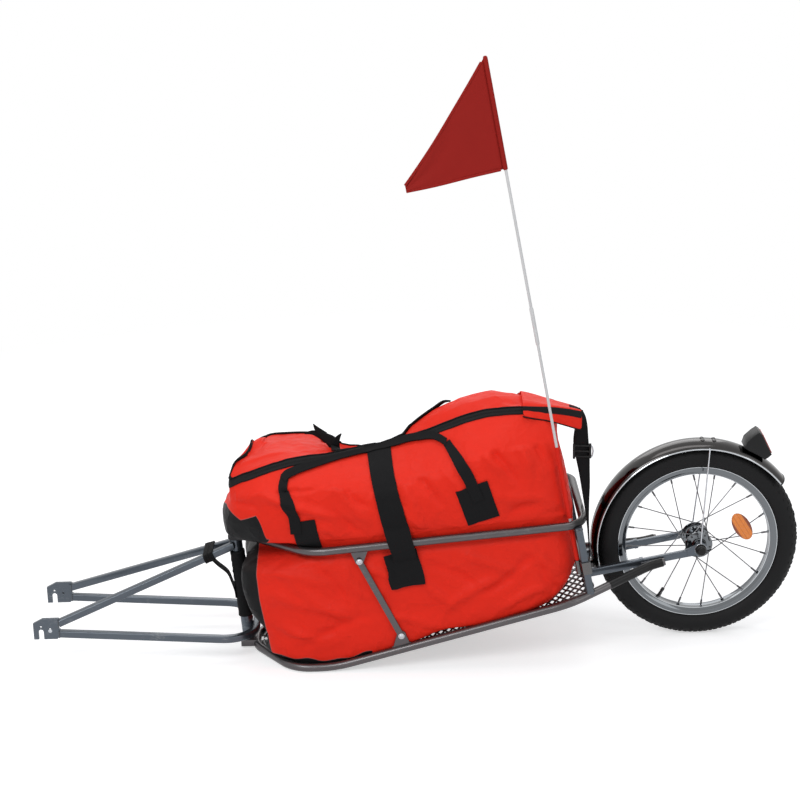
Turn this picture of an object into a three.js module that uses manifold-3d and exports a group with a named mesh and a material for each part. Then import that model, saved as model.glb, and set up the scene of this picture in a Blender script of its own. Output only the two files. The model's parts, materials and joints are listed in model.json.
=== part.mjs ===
// Single wheel touring trailer, standing unhitched on its wheel and on the front of its lower frame.
// X runs from the tow fork to the wheel, Y to the right side, Z up. Lengths are in millimetres.
// Places along X are counted from the wheel axle, so most of them are negative.
import * as THREE from 'three';
import { mergeVertices } from 'three/addons/utils/BufferGeometryUtils.js';
import Module from 'manifold-3d';

const wasm = await Module();
wasm.setup();

// Clearances
const seatGap = 0.3;
const cutOverrun = 2;

// Facets
const sides = 10;
const wheelFacets = 44;
const hubFacets = 24;
const spokeFacets = 5;
const tyreArcSteps = 8;
const fenderSteps = 28;

// Wheel
const tyreRadius = 199.5;
const tyreWidth = 46;
const tyreWall = 3.2;
const rimEdgeRadius = 159;
const rimWidth = 25;
const rimHeight = 17;
const rimWall = 1.6;
const spokeCount = 20;
const spokeRadius = 1;
const spokeHeadRadius = 2;
const spokeHeadThickness = 1.2;
const spokeRise = 2.6;
const spokeCross = 72;
const nippleRadius = 2;
const nippleLength = 12;
const nippleGap = 0.8;
const rimHoleOffset = 3;
const rimHoleStagger = 1.5;
const hubBarrelRadius = 16;
const hubEndRadius = 14;
const hubHalfLength = 33;
const flangeRadius = 27;
const flangeHoleRadius = 22.5;
const flangeOffset = 26;
const flangeThickness = 3.2;
const bearingSeatRadius = 9;
const bearingSeatDepth = 6;
const axleRadius = 4.75;
const axleLocknutRadius = 7.5;
const axleBore = 5.6;
const axleHalfLength = 62;
const capNutRadius = 9.5;
const capNutLength = 14;
const reflectorWidth = 34;
const reflectorLength = 62;
const reflectorThickness = 8;
const reflectorDistance = 88;
const reflectorShift = 6;
const reflectorSpoke = 1;

// Frame
const tubeRadius = 8;
const railHalfWidth = 136;
const railHeightAtAxle = 313.8;
const railTip = -893;
const railTipHalfWidth = 14;
const railShoulder = -767;
const railRear = -239;
const railShoulderBend = 90;
const railRearBend = 38;
const lowerHalfWidth = 137;
const lowerNose = -884;
const lowerNoseHalfWidth = 30;
const lowerShoulder = -806;
const lowerSweep = -265;
const lowerSweepEnd = -100;
const lowerRearEnd = -75;
const noseBend = 60;
const shoulderBend = 70;
const groundBend = 250;
const sweepBend = 150;
const sweepEndBend = 80;
const stayHalfSpacing = 47;
const stayWidth = 12;
const stayDepth = 14;
const staySleeveExtra = 2;
const staySleeveEnd = -118;
const stayEnd = -28;
const stayDrop = 3.6;
const dropoutThickness = 5;
const dropoutRadius = 13;
const crossTube = -226;
const crossTubeHeight = 156;
const stayBelowCross = 2.1;
const postWidth = 14;
const postTop = -250;
const postFoot = -224;
const floorThickness = 2;
const floorBorder = 9;
const floorRearEnd = -242;
const diamondPitch = 49;
const diamondRowPitch = 33;
const diamondWeb = 5;
const strutWidth = 12;
const strutThickness = 4;
const strutTop = [-671, 232];
const strutFoot = [-594, 73];
const rivetHole = 3;
const tabHalfBase = 18;

// Pivot between frame and tow fork
const pivotFoot = -899.7;
const pivotLeanDegrees = 4.5;
const pinRadius = 5;
const pinKnobRadius = 8;
const pinKnobHeight = 15;
const lugThickness = 9;
const lugHalfWidth = 16;
const lugDrop = 8.7;
const footLugHeight = 14;
const footLugHalfWidth = 24;
const footLugBase = 3;
const headTubeRadius = 12.5;

// Tow fork
const forkHalfSpacing = 87;
const forkTubeSize = 14;
const hitchPlateThickness = 6;
const hitchPlateLength = 51;
const hitchPlateRear = -366;
const hitchPlateBase = 62;
const hitchPlateHeight = 44;
const hitchChamferLength = 19;
const hitchChamferDrop = 10;
const hitchSlotWidth = 10;
const hitchSlotDepth = 21;
const hitchSlotPlace = 15;
const hitchHoleRadius = 2.5;
const lowerLegAtPlate = 73;
const lowerLegAtPivot = 48;
const upperLegAtPlate = 94.8;
const upperLegAtPivot = 220;
const upperLegTipHalfWidth = 9;
const forkBend = 66;
const strapWidth = 20;
const strapThickness = 2;
const strapPlace = -70;
const wrapBase = 100;
const wrapHeight = 92;

// Fender and lamps
const fenderRadius = 213;
const fenderHalfWidth = 29;
const fenderDrop = 12;
const fenderSheet = 1.6;
const fenderFrontDrop = 15;
const fenderRearAngle = 38;
const fenderTabWidth = 20;
const fenderTabHeight = 14;
const wireRadius = 1.5;
const wireEyeRadius = 12;
const wireEyeThickness = 2;
const wireTopAngle = 85.5;
const lampWidth = 44;
const lampFootAngle = 65;
const lampHeight = 33;
const lampFootLength = 58;
const lampWall = 3;
const lensThickness = 4;

// Flag
const poleRadius = 2.75;
const poleHalfLength = 505;
const poleBase = [-246, -122, 190];
const poleLean = 9.9;
const ferruleRadius = 3.8;
const ferruleLength = 72;
const socketRadius = 6;
const socketDepth = 26;
const socketFloor = 3;
const postClampThickness = 3;
const flagHoist = 205;
const flagFly = 186;
const flagThickness = 1;
const flagSleeveRadius = 4.4;
const flagRipple = 5;

// Bag and its webbing
const bagFront = -930;
const bagLength = 670;
const bagHalfWidth = 140;
const bagHeight = 520;
const bagFootRise = 20;
const bagGap = 0.6;
const webbingThickness = 2.4;
const handleWidth = 17;
const rearStrapWidth = 20;
const rearStrapPlace = -28;
const buckleWidth = 32;
const buckleHeight = 26;
const buckleThickness = 9;

const axleHeight = tyreRadius;
const railSlope = 0.083;
const lowerSlope = 0.264;
const railHeight = (x) => railHeightAtAxle + railSlope * x;
const lugHeight = railHeight(railTip) - lugDrop;
const lowerHeight = (x) => Math.max(tubeRadius, axleHeight + lowerSlope * x);
const stayStart = axleHeight - stayDrop;
const staySlope = (stayStart + stayBelowCross - crossTubeHeight) / -crossTube;
const stayHeight = (x) => stayStart + staySlope * x;
const radians = (degrees) => THREE.MathUtils.degToRad(degrees);
const vec = (x, y, z) => new THREE.Vector3(x, y, z);

// Finishes
const finish = (color, roughness, metalness) => new THREE.MeshStandardMaterial({ color, roughness, metalness });
const forkPaint = finish(0x5b6672, 0.38, 0.7);
const framePaint = finish(0x4b4d52, 0.42, 0.6);
const chrome = finish(0xb9bfc4, 0.15, 1);
const steel = finish(0x9a9ea2, 0.3, 0.9);
const rubber = finish(0x151515, 0.8, 0);
const fenderChrome = finish(0x3b4043, 0.18, 0.9);
const redCloth = finish(0xe3241c, 0.55, 0);
const blackWeb = finish(0x151516, 0.75, 0);
const blackPlastic = finish(0x17181a, 0.45, 0);
const amber = finish(0xf08a12, 0.2, 0);
const redLens = finish(0x9c1410, 0.2, 0);
const white = finish(0xe9e9e6, 0.4, 0);
const flagCloth = finish(0xa31a1c, 0.7, 0);

// Solids: a closed geometry becomes one that can be cut and joined, and back
function solid(geometry) {
  const bare = geometry.clone();
  bare.deleteAttribute('normal');
  bare.deleteAttribute('uv');
  const merged = mergeVertices(bare, 1e-4);
  const mesh = new wasm.Mesh({
    numProp: 3,
    vertProperties: new Float32Array(merged.attributes.position.array),
    triVerts: new Uint32Array(merged.index.array),
  });
  return new wasm.Manifold(mesh);
}

function shape3(body) {
  const mesh = body.getMesh();
  const geometry = new THREE.BufferGeometry();
  geometry.setAttribute('position', new THREE.BufferAttribute(new Float32Array(mesh.vertProperties), 3));
  geometry.setIndex(new THREE.BufferAttribute(new Uint32Array(mesh.triVerts), 1));
  geometry.computeVertexNormals();
  return geometry;
}

const join = (...parts) => shape3(parts.map(solid).reduce((all, one) => all.add(one)));
const cut = (body, ...tools) => shape3(tools.map(solid).reduce((rest, tool) => rest.subtract(tool), solid(body)));

// Outlines
const outline = (points) => new THREE.Shape(points.map(([x, y]) => new THREE.Vector2(x, y)));

function roundOutline(radius, count = sides) {
  const ring = Array.from({ length: count }, (_, i) => 2 * Math.PI * (i + 0.5) / count);
  return outline(ring.map((a) => [radius * Math.cos(a), radius * Math.sin(a)]));
}

function boxOutline(width, height, corner) {
  const [w, h] = [width / 2, height / 2];
  const quarter = [[w, h - corner], [w - corner, h]];
  return outline([
    ...quarter, ...quarter.map(([x, y]) => [-x, y]).reverse(),
    ...quarter.map(([x, y]) => [-x, -y]), ...quarter.map(([x, y]) => [x, -y]).reverse(),
  ]);
}

// A path of straight runs and round bends, for a tube bent on a bench
class TubePath extends THREE.Curve {
  constructor(points, side) {
    super();
    this.points = points;
    this.side = side;
  }

  getPoint(u) {
    const last = this.points.length - 1;
    const i = Math.min(Math.floor(u * last), last - 1);
    return this.points[i].clone().lerp(this.points[i + 1], u * last - i);
  }

  getSpacedPoints() {
    return this.points;
  }

  computeFrenetFrames() {
    const last = this.points.length - 1;
    const tangents = this.points.map((_, i) => {
      const ahead = this.points[Math.min(i + 1, last)].clone();
      return ahead.sub(this.points[Math.max(i - 1, 0)]).normalize();
    });
    const across = (t) => this.side.clone().addScaledVector(t, -this.side.dot(t)).normalize();
    const binormals = tangents.map(across);
    const normals = tangents.map((t, i) => binormals[i].clone().cross(t));
    return { tangents, normals, binormals };
  }
}

function bentPath(corners, radii, step = 16) {
  const points = [corners[0]];
  corners.slice(1, -1).forEach((corner, i) => {
    const back = corners[i].clone().sub(corner).normalize();
    const ahead = corners[i + 2].clone().sub(corner).normalize();
    const turn = Math.PI - back.angleTo(ahead);
    const reach = radii[i] * Math.tan(turn / 2);
    const inward = back.clone().add(ahead).normalize();
    const centre = corner.clone().addScaledVector(inward, radii[i] / Math.cos(turn / 2));
    const start = corner.clone().addScaledVector(back, reach).sub(centre);
    const end = corner.clone().addScaledVector(ahead, reach).sub(centre);
    const count = Math.max(1, Math.round(THREE.MathUtils.radToDeg(turn) / step));
    for (let k = 0; k <= count; k += 1) {
      const t = k / count;
      const arm = start.clone().multiplyScalar(Math.sin((1 - t) * turn) / Math.sin(turn));
      arm.addScaledVector(end, Math.sin(t * turn) / Math.sin(turn));
      points.push(arm.add(centre));
    }
  });
  points.push(corners[corners.length - 1]);
  return points;
}

function sweep(section, points, side) {
  const path = new TubePath(points, side);
  return new THREE.ExtrudeGeometry(section, { steps: points.length - 1, extrudePath: path });
}

const bar = (section, from, to, side) => sweep(section, [from, to], side);
const mirrorHalf = (points) => [...points, ...points.map((p) => vec(p.x, -p.y, p.z)).reverse()];

// A flat piece standing in a plane along X and Z, centred on the given Y
function plate(shape, thickness, y) {
  const geometry = new THREE.ExtrudeGeometry(shape, { depth: thickness, bevelEnabled: false, curveSegments: 5 });
  geometry.rotateX(Math.PI / 2);
  geometry.translate(0, y + thickness / 2, 0);
  return geometry;
}

// A turned piece about Y, from a closed or axis-to-axis profile of radius and place
function turned(profile, segments) {
  return new THREE.LatheGeometry(profile.map(([r, y]) => new THREE.Vector2(r, y)), segments);
}

function cylinderAlongY(radius, y0, y1, count = 12) {
  return turned([[0, y0], [radius, y0], [radius, y1], [0, y1]], count);
}

function circleHole(x, y, radius, count = 12) {
  const hole = new THREE.Path();
  const ring = Array.from({ length: count }, (_, i) => 2 * Math.PI * i / count);
  hole.setFromPoints(ring.map((a) => new THREE.Vector2(x + radius * Math.cos(a), y + radius * Math.sin(a))));
  return hole;
}

const trailer = new THREE.Group();
const wheel = new THREE.Group();
wheel.position.set(0, 0, axleHeight);
const fork = new THREE.Group();
fork.position.set(pivotFoot, 0, 0);
trailer.add(wheel, fork);

function add(name, geometry, material, group = trailer) {
  const mesh = new THREE.Mesh(geometry, material);
  mesh.name = name;
  group.add(mesh);
  return mesh;
}

// The right side's piece is the left one mirrored
function addPair(name, geometry, material, group = trailer) {
  add(`${name}_left`, geometry, material, group);
  add(`${name}_right`, geometry, material, group).scale.y = -1;
}

// Upper rail: one tube bent round the load, its ends joined by the lug that holds the pivot pin
const pivotLean = radians(pivotLeanDegrees);
const pivotAt = (z) => vec(pivotFoot - z * Math.tan(pivotLean), 0, z);
const railPoint = (x, y) => vec(x, y, railHeight(x));
const strutPlane = -railHalfWidth - strutThickness / 2 - seatGap;

function alongPivot(geometry, z) {
  geometry.rotateX(Math.PI / 2);
  geometry.rotateY(-pivotLean);
  const place = pivotAt(z);
  geometry.translate(place.x, place.y, place.z);
  return geometry;
}

const pinHole = (z) => alongPivot(cylinderAlongY(pinRadius + seatGap, -lugHalfWidth, lugHalfWidth), z);

// Tab or gusset: a plate from a base line on a tube to a round end at the bolt
function tab(bolt, baseHeight, slope) {
  const [x, z] = bolt;
  const down = baseHeight < z ? 1 : -1;
  const arc = Array.from({ length: 7 }, (_, i) => {
    const a = Math.PI * i / 6;
    return [x + strutWidth * 0.75 * Math.cos(a), z + down * strutWidth * 0.75 * Math.sin(a)];
  });
  const base = (dx) => [x + dx, baseHeight + slope * dx];
  const rim = [base(tabHalfBase), ...arc, base(-tabHalfBase)];
  const shape = outline(down > 0 ? rim : rim.reverse());
  shape.holes.push(circleHole(x, z, rivetHole));
  return plate(shape, strutThickness, 0);
}

function upperRail() {
  const corners = mirrorHalf([
    railPoint(railTip, -railTipHalfWidth),
    railPoint(railShoulder, -railHalfWidth),
    railPoint(railRear, -railHalfWidth),
  ]);
  const radii = [railShoulderBend, railRearBend, railRearBend, railShoulderBend];
  const rail = sweep(roundOutline(tubeRadius), bentPath(corners, radii), vec(0, 0, 1));
  const front = pivotAt(lugHeight).x - lugHalfWidth * 0.8;
  const rear = railTip + tubeRadius;
  const nose = lugHalfWidth * 0.5;
  const lugShape = outline([
    [front, -nose], [front + nose, -lugHalfWidth], [rear, -lugHalfWidth - tubeRadius * 0.7],
    [rear, lugHalfWidth + tubeRadius * 0.7], [front + nose, lugHalfWidth], [front, nose],
  ]);
  const lug = new THREE.ExtrudeGeometry(lugShape, { depth: lugThickness, bevelEnabled: false });
  lug.translate(0, 0, lugHeight);
  const tabs = [-1, 1].map((side) => {
    const geometry = tab(strutTop, railHeight(strutTop[0]) - tubeRadius * 0.6, railSlope);
    geometry.translate(0, side * railHalfWidth, 0);
    return geometry;
  });
  return cut(join(rail, lug, ...tabs), pinHole(lugHeight));
}

add('upper_rail', upperRail(), framePaint);

// Lower frame: one tube from stay to stay round the front, level where it rests on the ground
const lowerPoint = (x, y) => vec(x, y, lowerHeight(x));
const groundX = (tubeRadius - axleHeight) / lowerSlope;
const lowerRearHalfWidth = stayHalfSpacing + stayWidth / 2 + tubeRadius + seatGap;

const lowerCorners = mirrorHalf([
  lowerPoint(lowerRearEnd, -lowerRearHalfWidth),
  lowerPoint(lowerSweepEnd, -lowerRearHalfWidth),
  lowerPoint(lowerSweep, -lowerHalfWidth),
  lowerPoint(groundX, -lowerHalfWidth),
  lowerPoint(lowerShoulder, -lowerHalfWidth),
  lowerPoint(lowerNose, -lowerNoseHalfWidth),
]);
const lowerRadii = [sweepEndBend, sweepBend, groundBend, shoulderBend, noseBend];
const lowerPath = bentPath(lowerCorners, [...lowerRadii, ...[...lowerRadii].reverse()]);

function lowerFrameTube() {
  const tube = sweep(roundOutline(tubeRadius), lowerPath, vec(0, 0, 1));
  const front = pivotAt(0).x - lugHalfWidth;
  const lugShape = outline([
    [front, -footLugHalfWidth], [lowerNose, -footLugHalfWidth], [lowerNose, footLugHalfWidth],
    [front, footLugHalfWidth],
  ]);
  const lug = new THREE.ExtrudeGeometry(lugShape, { depth: footLugHeight, bevelEnabled: false });
  lug.translate(0, 0, footLugBase);
  const gussets = [-1, 1].map((side) => {
    const geometry = tab(strutFoot, lowerHeight(strutFoot[0]) + tubeRadius * 0.6, lowerSlope);
    geometry.translate(0, side * railHalfWidth, 0);
    return geometry;
  });
  return cut(join(tube, lug, ...gussets), pinHole(0), pinHole(footLugHeight));
}

add('lower_frame_tube', lowerFrameTube(), framePaint);

// Floor: expanded metal, diamonds in staggered rows inside a plain border, bent with the lower frame
function floorOutline(inset) {
  const reach = tubeRadius + seatGap + inset;
  const half = lowerPath.slice(0, lowerPath.length / 2);
  const edge = half.map((p, i) => {
    const a = half[Math.max(i - 1, 0)];
    const b = half[Math.min(i + 1, half.length - 1)];
    const along = new THREE.Vector2(b.x - a.x, b.y - a.y).normalize();
    return [p.x + along.y * reach, p.y - along.x * reach];
  });
  const rear = floorRearEnd - inset;
  const inside = edge.filter(([x]) => x < rear);
  const [x0, y0] = edge[edge.length - inside.length - 1];
  const [x1, y1] = inside[0];
  inside.unshift([rear, y0 + (y1 - y0) * (rear - x0) / (x1 - x0)]);
  return [...inside, ...inside.map(([x, y]) => [x, -y]).reverse()];
}

function insideOutline(points, x, y) {
  let odd = false;
  points.forEach(([ax, ay], i) => {
    const [bx, by] = points[(i + 1) % points.length];
    if ((ay > y) !== (by > y) && x < ax + (bx - ax) * (y - ay) / (by - ay)) odd = !odd;
  });
  return odd;
}

function floorMesh() {
  const edge = floorOutline(0);
  const field = floorOutline(floorBorder);
  const shape = outline(edge);
  const [halfX, halfY] = [(diamondPitch - diamondWeb) / 2, (diamondRowPitch - diamondWeb) / 2];
  const rows = Math.ceil(lowerHalfWidth / (diamondRowPitch / 2));
  const columns = Math.ceil((floorRearEnd - lowerNose) / diamondPitch);
  for (let row = -rows; row <= rows; row += 1) {
    for (let column = 0; column <= columns; column += 1) {
      const x = floorRearEnd - (column + (row % 2 === 0 ? 0.5 : 1)) * diamondPitch;
      const y = row * diamondRowPitch / 2;
      const corners = [[x + halfX, y], [x, y + halfY], [x - halfX, y], [x, y - halfY]];
      if (corners.every(([cx, cy]) => insideOutline(field, cx, cy))) {
        const hole = new THREE.Path();
        hole.setFromPoints(corners.map(([cx, cy]) => new THREE.Vector2(cx, cy)));
        shape.holes.push(hole);
      }
    }
  }
  const sheet = new THREE.ExtrudeGeometry(shape, { depth: floorThickness, bevelEnabled: false });
  sheet.translate(0, 0, lowerHeight(lowerNose) - floorThickness / 2);
  const flat = solid(sheet).trimByPlane([-1, 0, 0], -groundX - seatGap / 10);
  const risen = solid(sheet).trimByPlane([1, 0, 0], groundX).warp((place) => {
    place[2] += lowerHeight(place[0]) - lowerHeight(lowerNose);
  });
  return shape3(flat.add(risen));
}

add('floor_mesh', floorMesh(), framePaint);

// Rear posts between rail and lower frame, and the cross tube between them that carries the stays
function lowerTubeY(x) {
  const i = lowerPath.findIndex((p) => p.x < x);
  const [a, b] = [lowerPath[i - 1], lowerPath[i]];
  return a.y + (b.y - a.y) * (x - a.x) / (b.x - a.x);
}

const postHead = vec(postTop, -railHalfWidth, railHeight(postTop) - tubeRadius - seatGap);
const postBase = vec(postFoot, lowerTubeY(postFoot), lowerHeight(postFoot) + tubeRadius + seatGap);
const postAt = (z) => postBase.clone().lerp(postHead, (z - postBase.z) / (postHead.z - postBase.z));
const railRearPath = bentPath([
  railPoint(railShoulder, -railHalfWidth), railPoint(railRear, -railHalfWidth), railPoint(railRear, 0),
], [railRearBend]);
const postSection = () => boxOutline(postWidth, postWidth, postWidth * 0.2);

// The post is coped at both ends, to the outline of the tubes it is welded to
function rearPost() {
  const reach = postHead.clone().sub(postBase).setLength(tubeRadius * 2);
  const post = bar(postSection(), postBase.clone().sub(reach), postHead.clone().add(reach), vec(1, 0, 0));
  const weld = roundOutline(tubeRadius + seatGap, 16);
  const head = sweep(weld, railRearPath, vec(0, 0, 1));
  const foot = sweep(weld, lowerPath.slice(0, lowerPath.length / 2), vec(0, 0, 1));
  const pieces = solid(post).subtract(solid(head)).subtract(solid(foot)).decompose();
  return shape3(pieces.sort((a, b) => b.volume() - a.volume())[0]);
}

addPair('rear_post', rearPost(), forkPaint);

const crossHalf = -postAt(crossTubeHeight - tubeRadius).y - postWidth * 0.51 - seatGap;
add('rear_cross_tube', bar(roundOutline(tubeRadius), vec(crossTube, -crossHalf, crossTubeHeight),
  vec(crossTube, crossHalf, crossTubeHeight), vec(0, 0, 1)), framePaint);

// Side struts, flat bars between the rail's tab and the lower tube's gusset
function sideStrut() {
  const [ax, az] = strutTop;
  const [bx, bz] = strutFoot;
  const turn = Math.atan2(bz - az, bx - ax);
  const round = (x, z, from) => Array.from({ length: 7 }, (_, i) => {
    const a = from + Math.PI * i / 6;
    return [x + strutWidth / 2 * Math.cos(a), z + strutWidth / 2 * Math.sin(a)];
  });
  const shape = outline([...round(ax, az, turn + Math.PI / 2), ...round(bx, bz, turn - Math.PI / 2)]);
  shape.holes.push(circleHole(ax, az, rivetHole), circleHole(bx, bz, rivetHole));
  return plate(shape, strutThickness, strutPlane - strutThickness / 2);
}

addPair('side_strut', sideStrut(), forkPaint);

// Wheel stays: a sleeve, the slimmer tube in it, and the dropout plate that holds the axle
function wheelStay() {
  const front = crossTube + tubeRadius + seatGap;
  const [w, h] = [stayWidth, stayDepth];
  const at = (x) => vec(x, -stayHalfSpacing, stayHeight(x));
  const side = vec(0, 1, 0);
  const sleeve = bar(boxOutline(h + staySleeveExtra, w, w * 0.2), at(front), at(staySleeveEnd), side);
  const collarEnd = staySleeveEnd + stayWidth / 2;
  const collar = bar(boxOutline(h + staySleeveExtra * 2, w, w * 0.2), at(staySleeveEnd - 1), at(collarEnd), side);
  const tube = bar(boxOutline(h, w - staySleeveExtra, w * 0.2), at(collarEnd - 1), at(stayEnd), side);
  const arc = Array.from({ length: 9 }, (_, i) => {
    const a = radians(-100 + 200 * i / 8);
    return [dropoutRadius * Math.cos(a), axleHeight + dropoutRadius * Math.sin(a)];
  });
  const heel = stayEnd - stayWidth / 2;
  const shape = outline([...arc, [heel, stayHeight(heel) + h * 0.45], [heel, stayHeight(heel) - h * 0.45]]);
  const hanger = plate(shape, dropoutThickness, -stayHalfSpacing);
  const bore = cylinderAlongY(axleRadius + seatGap, -stayHalfSpacing - stayWidth, -stayHalfSpacing + stayWidth);
  bore.translate(0, 0, axleHeight);
  return cut(join(sleeve, collar, tube, hanger), bore);
}

addPair('wheel_stay', wheelStay(), forkPaint);

// Axle with its cones and locknuts, and the closed cap nuts outside the dropouts
const dropoutOuter = stayHalfSpacing + dropoutThickness / 2;
const dropoutInner = stayHalfSpacing - dropoutThickness / 2;

function mirrorProfile(half) {
  return [...half, ...half.map(([r, y]) => [r, -y]).reverse()];
}

function axle() {
  const coneRadius = bearingSeatRadius - seatGap;
  const coneInner = hubHalfLength - bearingSeatDepth + seatGap;
  const locknutEnd = dropoutInner - seatGap;
  const geometry = turned(mirrorProfile([
    [0, -axleHalfLength], [axleRadius, -axleHalfLength], [axleRadius, -locknutEnd],
    [axleLocknutRadius, -locknutEnd], [axleLocknutRadius, -hubHalfLength - seatGap],
    [coneRadius, -hubHalfLength - seatGap], [coneRadius, -coneInner], [axleRadius, -coneInner],
  ]), 16);
  geometry.translate(0, 0, axleHeight);
  return geometry;
}

function capNut() {
  const start = -dropoutOuter - wireEyeThickness - 2 * seatGap;
  const end = start - capNutLength;
  const bore = axleRadius + seatGap;
  const geometry = turned([
    [0, end], [capNutRadius * 0.55, end], [capNutRadius * 0.9, end + capNutLength * 0.2],
    [capNutRadius, end + capNutLength * 0.5], [capNutRadius, start], [bore, start],
    [bore, -axleHalfLength - seatGap], [0, -axleHalfLength - seatGap],
  ], 16);
  geometry.translate(0, 0, axleHeight);
  return geometry;
}

add('axle', axle(), steel);
addPair('axle_cap_nut', capNut(), blackPlastic);

// Wheel pieces, about the wheel's own centre
function hubShell() {
  const [inner, outer] = [flangeOffset - flangeThickness / 2, flangeOffset + flangeThickness / 2];
  const profile = mirrorProfile([
    [axleBore, -hubHalfLength + bearingSeatDepth], [bearingSeatRadius, -hubHalfLength + bearingSeatDepth],
    [bearingSeatRadius, -hubHalfLength], [hubEndRadius, -hubHalfLength], [hubBarrelRadius, -outer],
    [flangeRadius, -outer], [flangeRadius, -inner], [hubBarrelRadius + flangeThickness, -inner],
    [hubBarrelRadius, -inner + flangeThickness * 1.5],
  ]);
  const holes = [];
  spokeList.forEach(({ hubAngle, side }) => {
    const hole = cylinderAlongY(spokeRadius + seatGap, -flangeThickness, flangeThickness, 6);
    const [x, z] = [flangeHoleRadius * Math.cos(hubAngle), flangeHoleRadius * Math.sin(hubAngle)];
    hole.translate(x, side * flangeOffset, z);
    holes.push(hole);
  });
  return cut(turned([...profile, profile[0]], hubFacets), ...holes);
}

// Spokes cross twice; on each flange every other one leaves from the outer face
const spokeList = Array.from({ length: spokeCount }, (_, i) => {
  const rimAngle = radians(360 * (i + 0.25) / spokeCount);
  const outside = Math.floor(i / 2) % 2 === 0;
  const hubAngle = rimAngle + radians(outside ? -spokeCross : spokeCross);
  const side = i % 2 === 0 ? 1 : -1;
  const away = flangeThickness / 2 + spokeRadius + seatGap + (outside ? spokeRise : 0);
  const hubY = side * (flangeOffset + (outside ? away : -away));
  const rimY = side * (rimHoleOffset + (outside ? rimHoleStagger : 0));
  const rimRadius = rimEdgeRadius - rimHeight - nippleGap;
  const hole = vec(flangeHoleRadius * Math.cos(hubAngle), hubY, flangeHoleRadius * Math.sin(hubAngle));
  const end = vec(rimRadius * Math.cos(rimAngle), rimY, rimRadius * Math.sin(rimAngle));
  return { hubAngle, side, outside, away, hole, end };
});

function spoke({ side, outside, away, hole, end }) {
  const length = hole.distanceTo(end);
  const stem = turned([
    [0, 0], [spokeRadius, 0], [spokeRadius, length - nippleLength], [nippleRadius, length - nippleLength],
    [nippleRadius, length], [0, length],
  ], spokeFacets);
  const turn = new THREE.Quaternion().setFromUnitVectors(vec(0, 1, 0), end.clone().sub(hole).normalize());
  stem.applyQuaternion(turn);
  stem.translate(hole.x, hole.y, hole.z);
  const depth = away + flangeThickness / 2 + seatGap;
  const head = turned([
    [0, -depth - spokeHeadThickness], [spokeHeadRadius, -depth - spokeHeadThickness], [spokeHeadRadius, -depth],
    [spokeRadius, -depth], [spokeRadius, spokeRadius * 0.8], [0, spokeRadius * 0.8],
  ], spokeFacets);
  if ((side < 0) === outside) head.rotateX(Math.PI);
  head.translate(hole.x, hole.y, hole.z);
  return join(stem, head);
}

function rim() {
  const [edge, half] = [rimEdgeRadius, rimWidth / 2];
  const bottom = edge - rimHeight;
  const profile = [
    [bottom, -half * 0.72], [bottom + rimHeight * 0.45, -half], [edge, -half], [edge, -half + rimWall],
    [bottom + rimHeight * 0.5, -half + rimWall], [bottom + rimWall * 1.5, -half * 0.6],
    [bottom + rimWall * 1.5, half * 0.6], [bottom + rimHeight * 0.5, half - rimWall], [edge, half - rimWall],
    [edge, half], [bottom + rimHeight * 0.45, half], [bottom, half * 0.72],
  ];
  return turned([...profile, profile[0]], wheelFacets);
}

const tyreCentre = tyreRadius - tyreWidth / 2;
const tyreInside = tyreWidth / 2 - tyreWall;

function tyreArc(radius, count, from, to) {
  return Array.from({ length: count + 1 }, (_, i) => {
    const a = from + (to - from) * i / count;
    return [tyreCentre + radius * Math.cos(a), radius * Math.sin(a)];
  });
}

// The beads sit between the rim's side walls; above the rim the casing swells to its full width
function tyre() {
  const outerEnd = Math.acos((rimEdgeRadius + seatGap * 5 - tyreCentre) / (tyreWidth / 2));
  const innerEnd = Math.acos((rimEdgeRadius - seatGap * 3 - tyreCentre) / tyreInside);
  const beadOut = rimWidth / 2 - rimWall - seatGap * 2;
  const beadIn = beadOut - tyreWall;
  const [beadTop, beadFoot] = [rimEdgeRadius + seatGap * 2, rimEdgeRadius - rimHeight * 0.35];
  const profile = [
    ...tyreArc(tyreWidth / 2, tyreArcSteps, -outerEnd, outerEnd),
    [beadTop, beadOut], [beadFoot, beadOut], [beadFoot, beadIn],
    ...tyreArc(tyreInside, tyreArcSteps, innerEnd, -innerEnd),
    [beadFoot, -beadIn], [beadFoot, -beadOut], [beadTop, -beadOut],
  ];
  return turned([...profile, profile[0]], wheelFacets);
}

function innerTube() {
  const radius = tyreInside * Math.cos(Math.PI / tyreArcSteps) - seatGap * 2;
  const profile = tyreArc(radius, tyreArcSteps, 0, 2 * Math.PI).slice(0, tyreArcSteps);
  return turned([...profile, profile[0]], wheelFacets);
}

add('hub_shell', hubShell(), chrome, wheel);
spokeList.forEach((each, i) => add(`spoke_${String(i + 1).padStart(2, '0')}`, spoke(each), steel, wheel));
add('rim', rim(), chrome, wheel);
add('tyre', tyre(), rubber, wheel);
add('inner_tube', innerTube(), rubber, wheel);

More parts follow.
